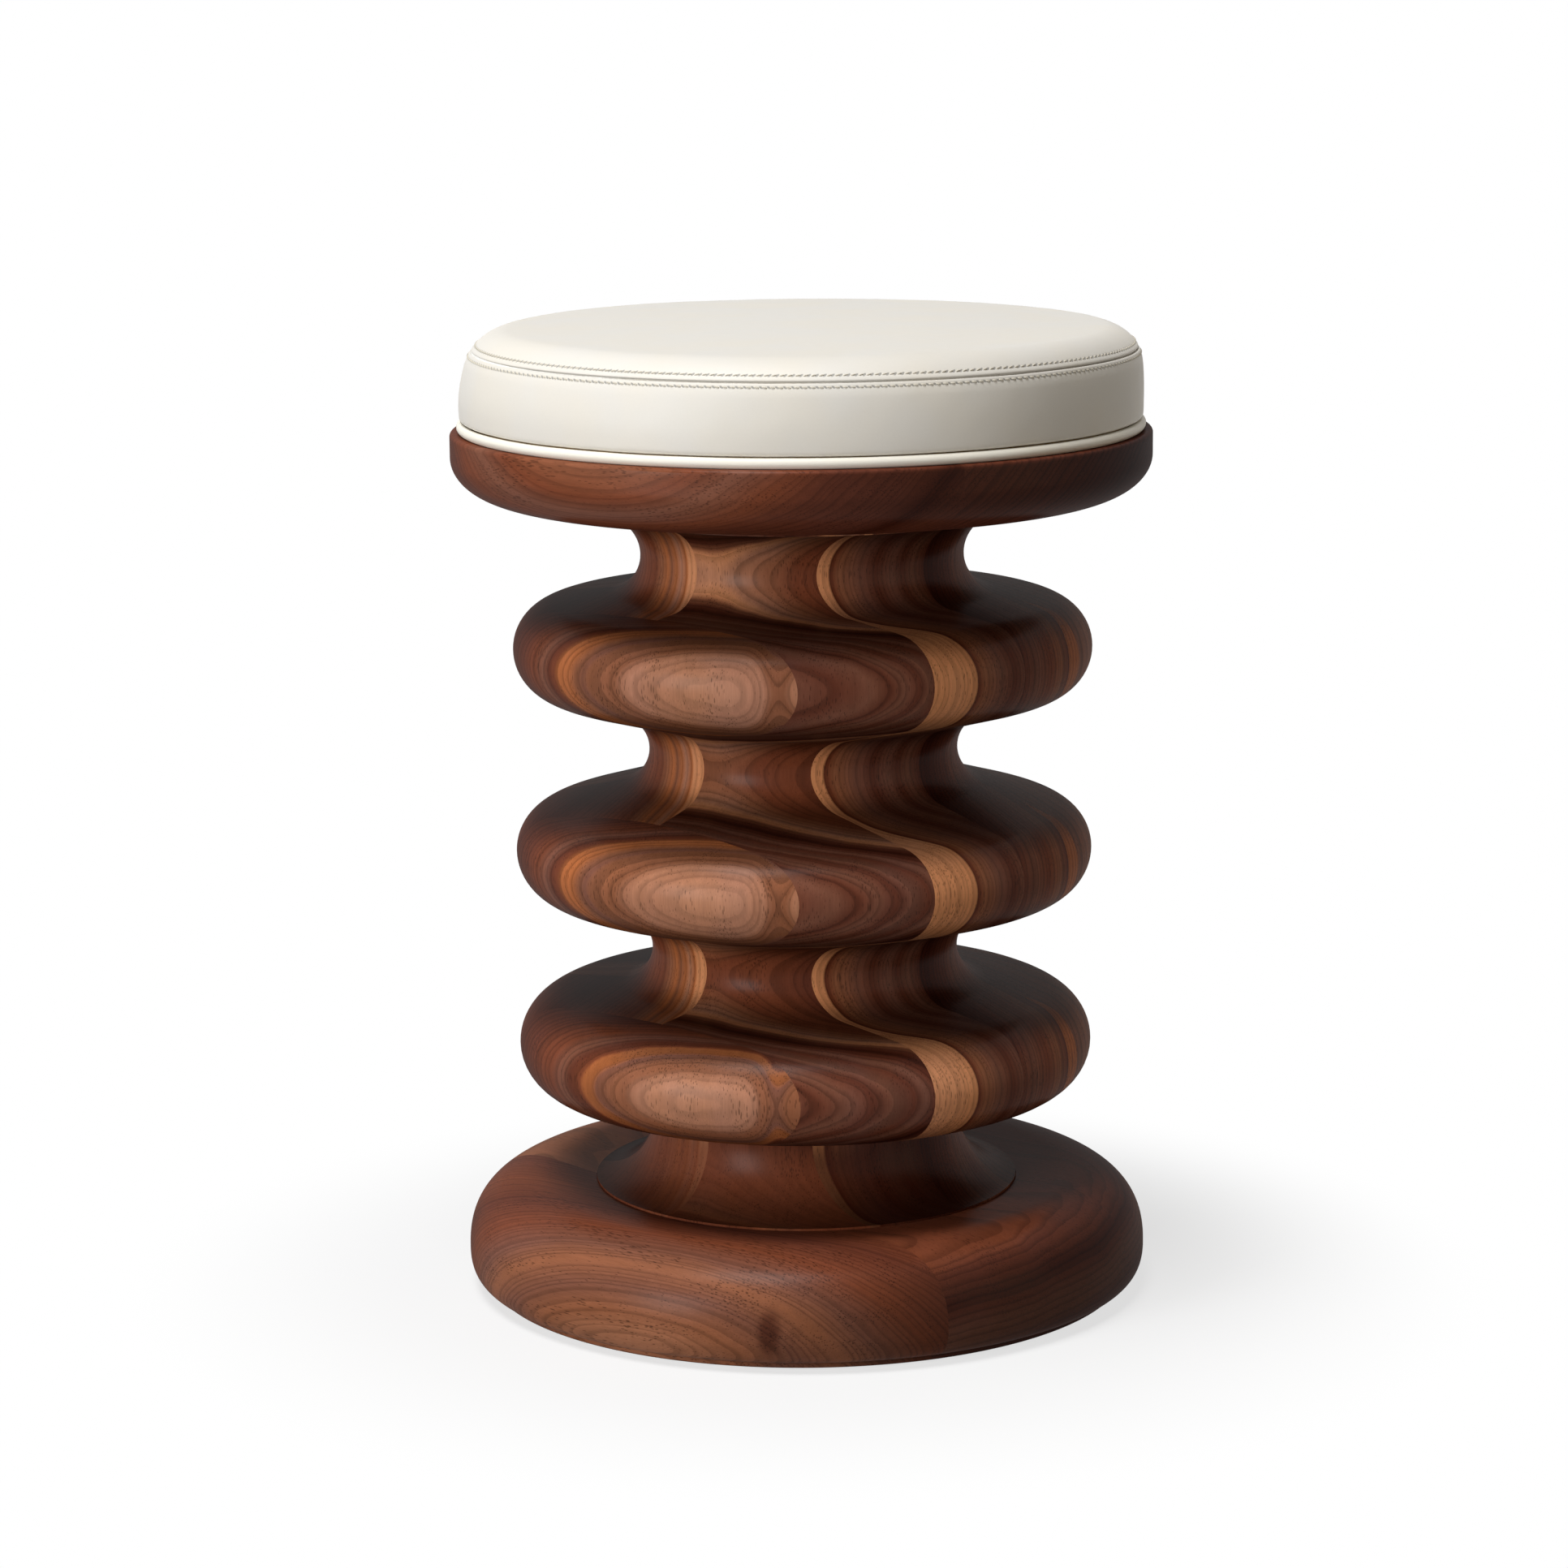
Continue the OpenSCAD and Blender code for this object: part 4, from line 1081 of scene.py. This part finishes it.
class STOOL_OT_finish_hidden(bpy.types.Operator):
    """Gives the fasteners, plywood and filling their finishes"""

    bl_idname = "stool.finish_hidden"
    bl_label = "Finish Hidden Parts"

    def execute(self, context):
        finishes = {
            plain_finish("zinc_plated_steel", "b9bcc0", (3, 3, 3), contrast=0.12, rough=0.38, Metallic=1.0):
                ("lag_bolts", "lag_washers", "dish_screws", "tee_nuts", "seat_bolts"),
            plain_finish("birch_plywood", "c9a878", (40, 2, 0.6), contrast=0.15, rough=0.6): ("seat_board",),
            plain_finish(
                "upholstery_foam", "e6dcae", (1, 1, 1), contrast=0.12, rough=0.9, bump=0.9, relief_mm=0.5,
            ): ("foam_pad",),
            plain_finish(
                "polyester_wadding", "efeeea", (7, 7, 2), contrast=0.06, rough=0.9, bump=0.6, relief_mm=0.6,
            ): ("wadding",),
            plain_finish("cotton_cord", "d8d0bd", (1, 1, 0.6), contrast=0.15, rough=0.8): ("welt_cord",),
            plain_finish("black_dust_cloth", "1d1b1a", (0.6,) * 3, contrast=0.3, rough=0.85): ("dust_cover",),
        }
        for material, nodes in finishes.items():
            for node in nodes:
                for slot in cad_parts[node].material_slots:
                    slot.material = material
        return {"FINISHED"}


# The camera, worked out from the photograph's outline: picture pixels, and metres in the stool's frame
PICTURE_PX = 1932
FOCUS_PX = 5765.4
CENTRE_PX = (990.36, 993.73)
SENSOR_MM = 36
EYE = Vector((0, -2.1918, 0.669))
LOOK_DOWN = math.radians(11.301)
TILT = 0.007
STOOL_MIDDLE = Vector((0, 0, 0.25))
FLOOR_R = 3.0
# Each light's width and height in metres, and its tint
SOFTBOXES = {
    "key_softbox": (1.1, 1.5, (1, 1, 1)),
    "overhead_softbox": (1.4, 1.4, (1, 1, 1)),
    "fill_softbox": (2.2, 2.2, (1.0, 0.82, 0.56)),
}


def show_or_light(graph, lit, shown):
    """One shader for light on the object, and another for what the camera, a mirror or glass shows."""
    path = graph.signals(graph.add("ShaderNodeLightPath").outputs)
    seen = graph.math("MAXIMUM", path["Is Camera Ray"], path["Is Glossy Ray"])
    seen = graph.math("MAXIMUM", seen, path["Is Transmission Ray"])
    return graph.out("ShaderNodeMixShader", {0: seen, 1: lit, 2: shown})


def light_world(world, ambient):
    """White background over a plain grey surround that lights the object."""
    world.use_nodes = True
    world.node_tree.nodes.clear()
    graph = Graph(world.node_tree)
    white = (1, 1, 1, 1)
    lit, shown = (
        graph.out("ShaderNodeBackground", {"Color": white, "Strength": level}) for level in (ambient, 1.0)
    )
    graph.add("ShaderNodeOutputWorld", {"Surface": show_or_light(graph, lit, shown)})


def floor_material():
    """Pale floor that keeps the shadow near the stool and runs out into the white background."""
    material, graph, shader = new_material("studio_floor")
    place = graph.out("ShaderNodeTexCoord", output="Object")
    speck = graph.noise(place, 0.004)
    graph.plug(shader.inputs["Base Color"], graph.mix(speck, (0.24, 0.24, 0.24, 1), (0.26, 0.26, 0.26, 1)))
    graph.plug(shader.inputs["Roughness"], 0.9)
    graph.plug(shader.inputs["Specular IOR Level"], 0.0)
    pale = graph.out("ShaderNodeBsdfDiffuse", {"Color": (0.9, 0.9, 0.9, 1)})
    white = graph.out("ShaderNodeEmission", {"Color": (1, 1, 1, 1), "Strength": 1.0})
    edge = graph.fade(graph.math("LENGTH", place), 0.17, 0.34, 0.7, 1.0)
    shown = graph.out("ShaderNodeMixShader", {0: edge, 1: pale, 2: white})
    surface = material.node_tree.nodes["Material Output"].inputs["Surface"]
    graph.plug(surface, show_or_light(graph, Signal(graph, shader.outputs[0]), shown))
    return material


def hang_softbox(name, level, bearing, height, distance):
    """Adds a lamp that gives a level of light at the stool's middle, from a bearing right of the front."""
    lamp = bpy.data.lights.new(name, "AREA")
    lamp.shape = "RECTANGLE"
    lamp.size, lamp.size_y, lamp.color = SOFTBOXES[name]
    lamp.energy = level * math.pi ** 2 * distance ** 2
    softbox = bpy.data.objects.new(name, lamp)
    level_way = Vector((math.sin(bearing), -math.cos(bearing), 0))
    towards = level_way * math.cos(height) + UP * math.sin(height)
    softbox.location = STOOL_MIDDLE + towards * distance
    softbox.rotation_euler = towards.to_track_quat("Z", "Y").to_euler()
    bpy.context.scene.collection.objects.link(softbox)


class STOOL_OT_set_stage(bpy.types.Operator):
    """Lays the floor, and sets the camera and the soft studio light of the photograph"""

    bl_idname = "stool.set_stage"
    bl_label = "Set Stage"

    def execute(self, context):
        scene, studio = context.scene, context.scene.stool_studio
        bm = bmesh.new()
        bmesh.ops.create_circle(bm, cap_ends=True, segments=64, radius=FLOOR_R)
        floor = add_object("floor", bm)
        floor.data.materials.append(floor_material())
        if scene.world is None:
            scene.world = bpy.data.worlds.new("studio")
        light_world(scene.world, studio.ambient)
        for name, level, bearing, height in zip(SOFTBOXES, studio.levels, studio.bearings, studio.heights):
            hang_softbox(name, level, bearing, height, studio.distance)
        camera = bpy.data.cameras.new("camera")
        camera.sensor_width = SENSOR_MM
        camera.lens = SENSOR_MM * FOCUS_PX / PICTURE_PX
        camera.shift_x = (PICTURE_PX / 2 - CENTRE_PX[0]) / PICTURE_PX
        camera.shift_y = (CENTRE_PX[1] - PICTURE_PX / 2) / PICTURE_PX
        camera.clip_start, camera.clip_end = 0.05, 50
        eye = bpy.data.objects.new("camera", camera)
        eye.location = EYE
        turned = Matrix.Rotation(math.pi / 2 - LOOK_DOWN, 3, "X") @ Matrix.Rotation(-TILT, 3, "Z")
        eye.rotation_euler = turned.to_euler()
        scene.collection.objects.link(eye)
        scene.camera = eye
        scene.view_settings.view_transform = "Standard"
        return {"FINISHED"}


class STOOL_PT_sidebar(bpy.types.Panel):
    """Buttons that build the stool, piece by piece"""

    bl_idname = "STOOL_PT_sidebar"
    bl_label = "Turned Walnut Stool"
    bl_space_type = "VIEW_3D"
    bl_region_type = "UI"
    bl_category = "Stool"

    def draw(self, context):
        for operator in OPERATORS:
            self.layout.operator(operator.bl_idname)


GROUPS = {
    "stool_base": StoolBaseSizes, "stool_column": StoolColumnSizes, "stool_boards": StoolBoardSizes,
    "stool_dish": StoolDishSizes, "stool_cushion": StoolCushionSizes, "stool_colours": StoolColours,
    "stool_studio": StoolStudio,
}
OPERATORS = (
    STOOL_OT_turn_base, STOOL_OT_press_felt, STOOL_OT_turn_column, STOOL_OT_turn_dish, STOOL_OT_sew_cover,
    STOOL_OT_pipe_welt, STOOL_OT_stitch_seam, STOOL_OT_finish_hidden, STOOL_OT_set_stage,
)
CLASSES = (*GROUPS.values(), *OPERATORS, STOOL_PT_sidebar)


def register():
    for made in CLASSES:
        bpy.utils.register_class(made)
    for name, group in GROUPS.items():
        setattr(bpy.types.Scene, name, PointerProperty(type=group))


def unregister():
    for name in GROUPS:
        delattr(bpy.types.Scene, name)
    for made in reversed(CLASSES):
        bpy.utils.unregister_class(made)


def main():
    register()
    bpy.ops.stool.turn_base()
    bpy.ops.stool.press_felt()
    bpy.ops.stool.turn_column()
    bpy.ops.stool.turn_dish()
    bpy.ops.stool.sew_cover()
    bpy.ops.stool.pipe_welt()
    bpy.ops.stool.stitch_seam()
    bpy.ops.stool.finish_hidden()
    bpy.ops.stool.set_stage()
    bpy.context.view_layer.update()


if __name__ == "__main__":
    main()
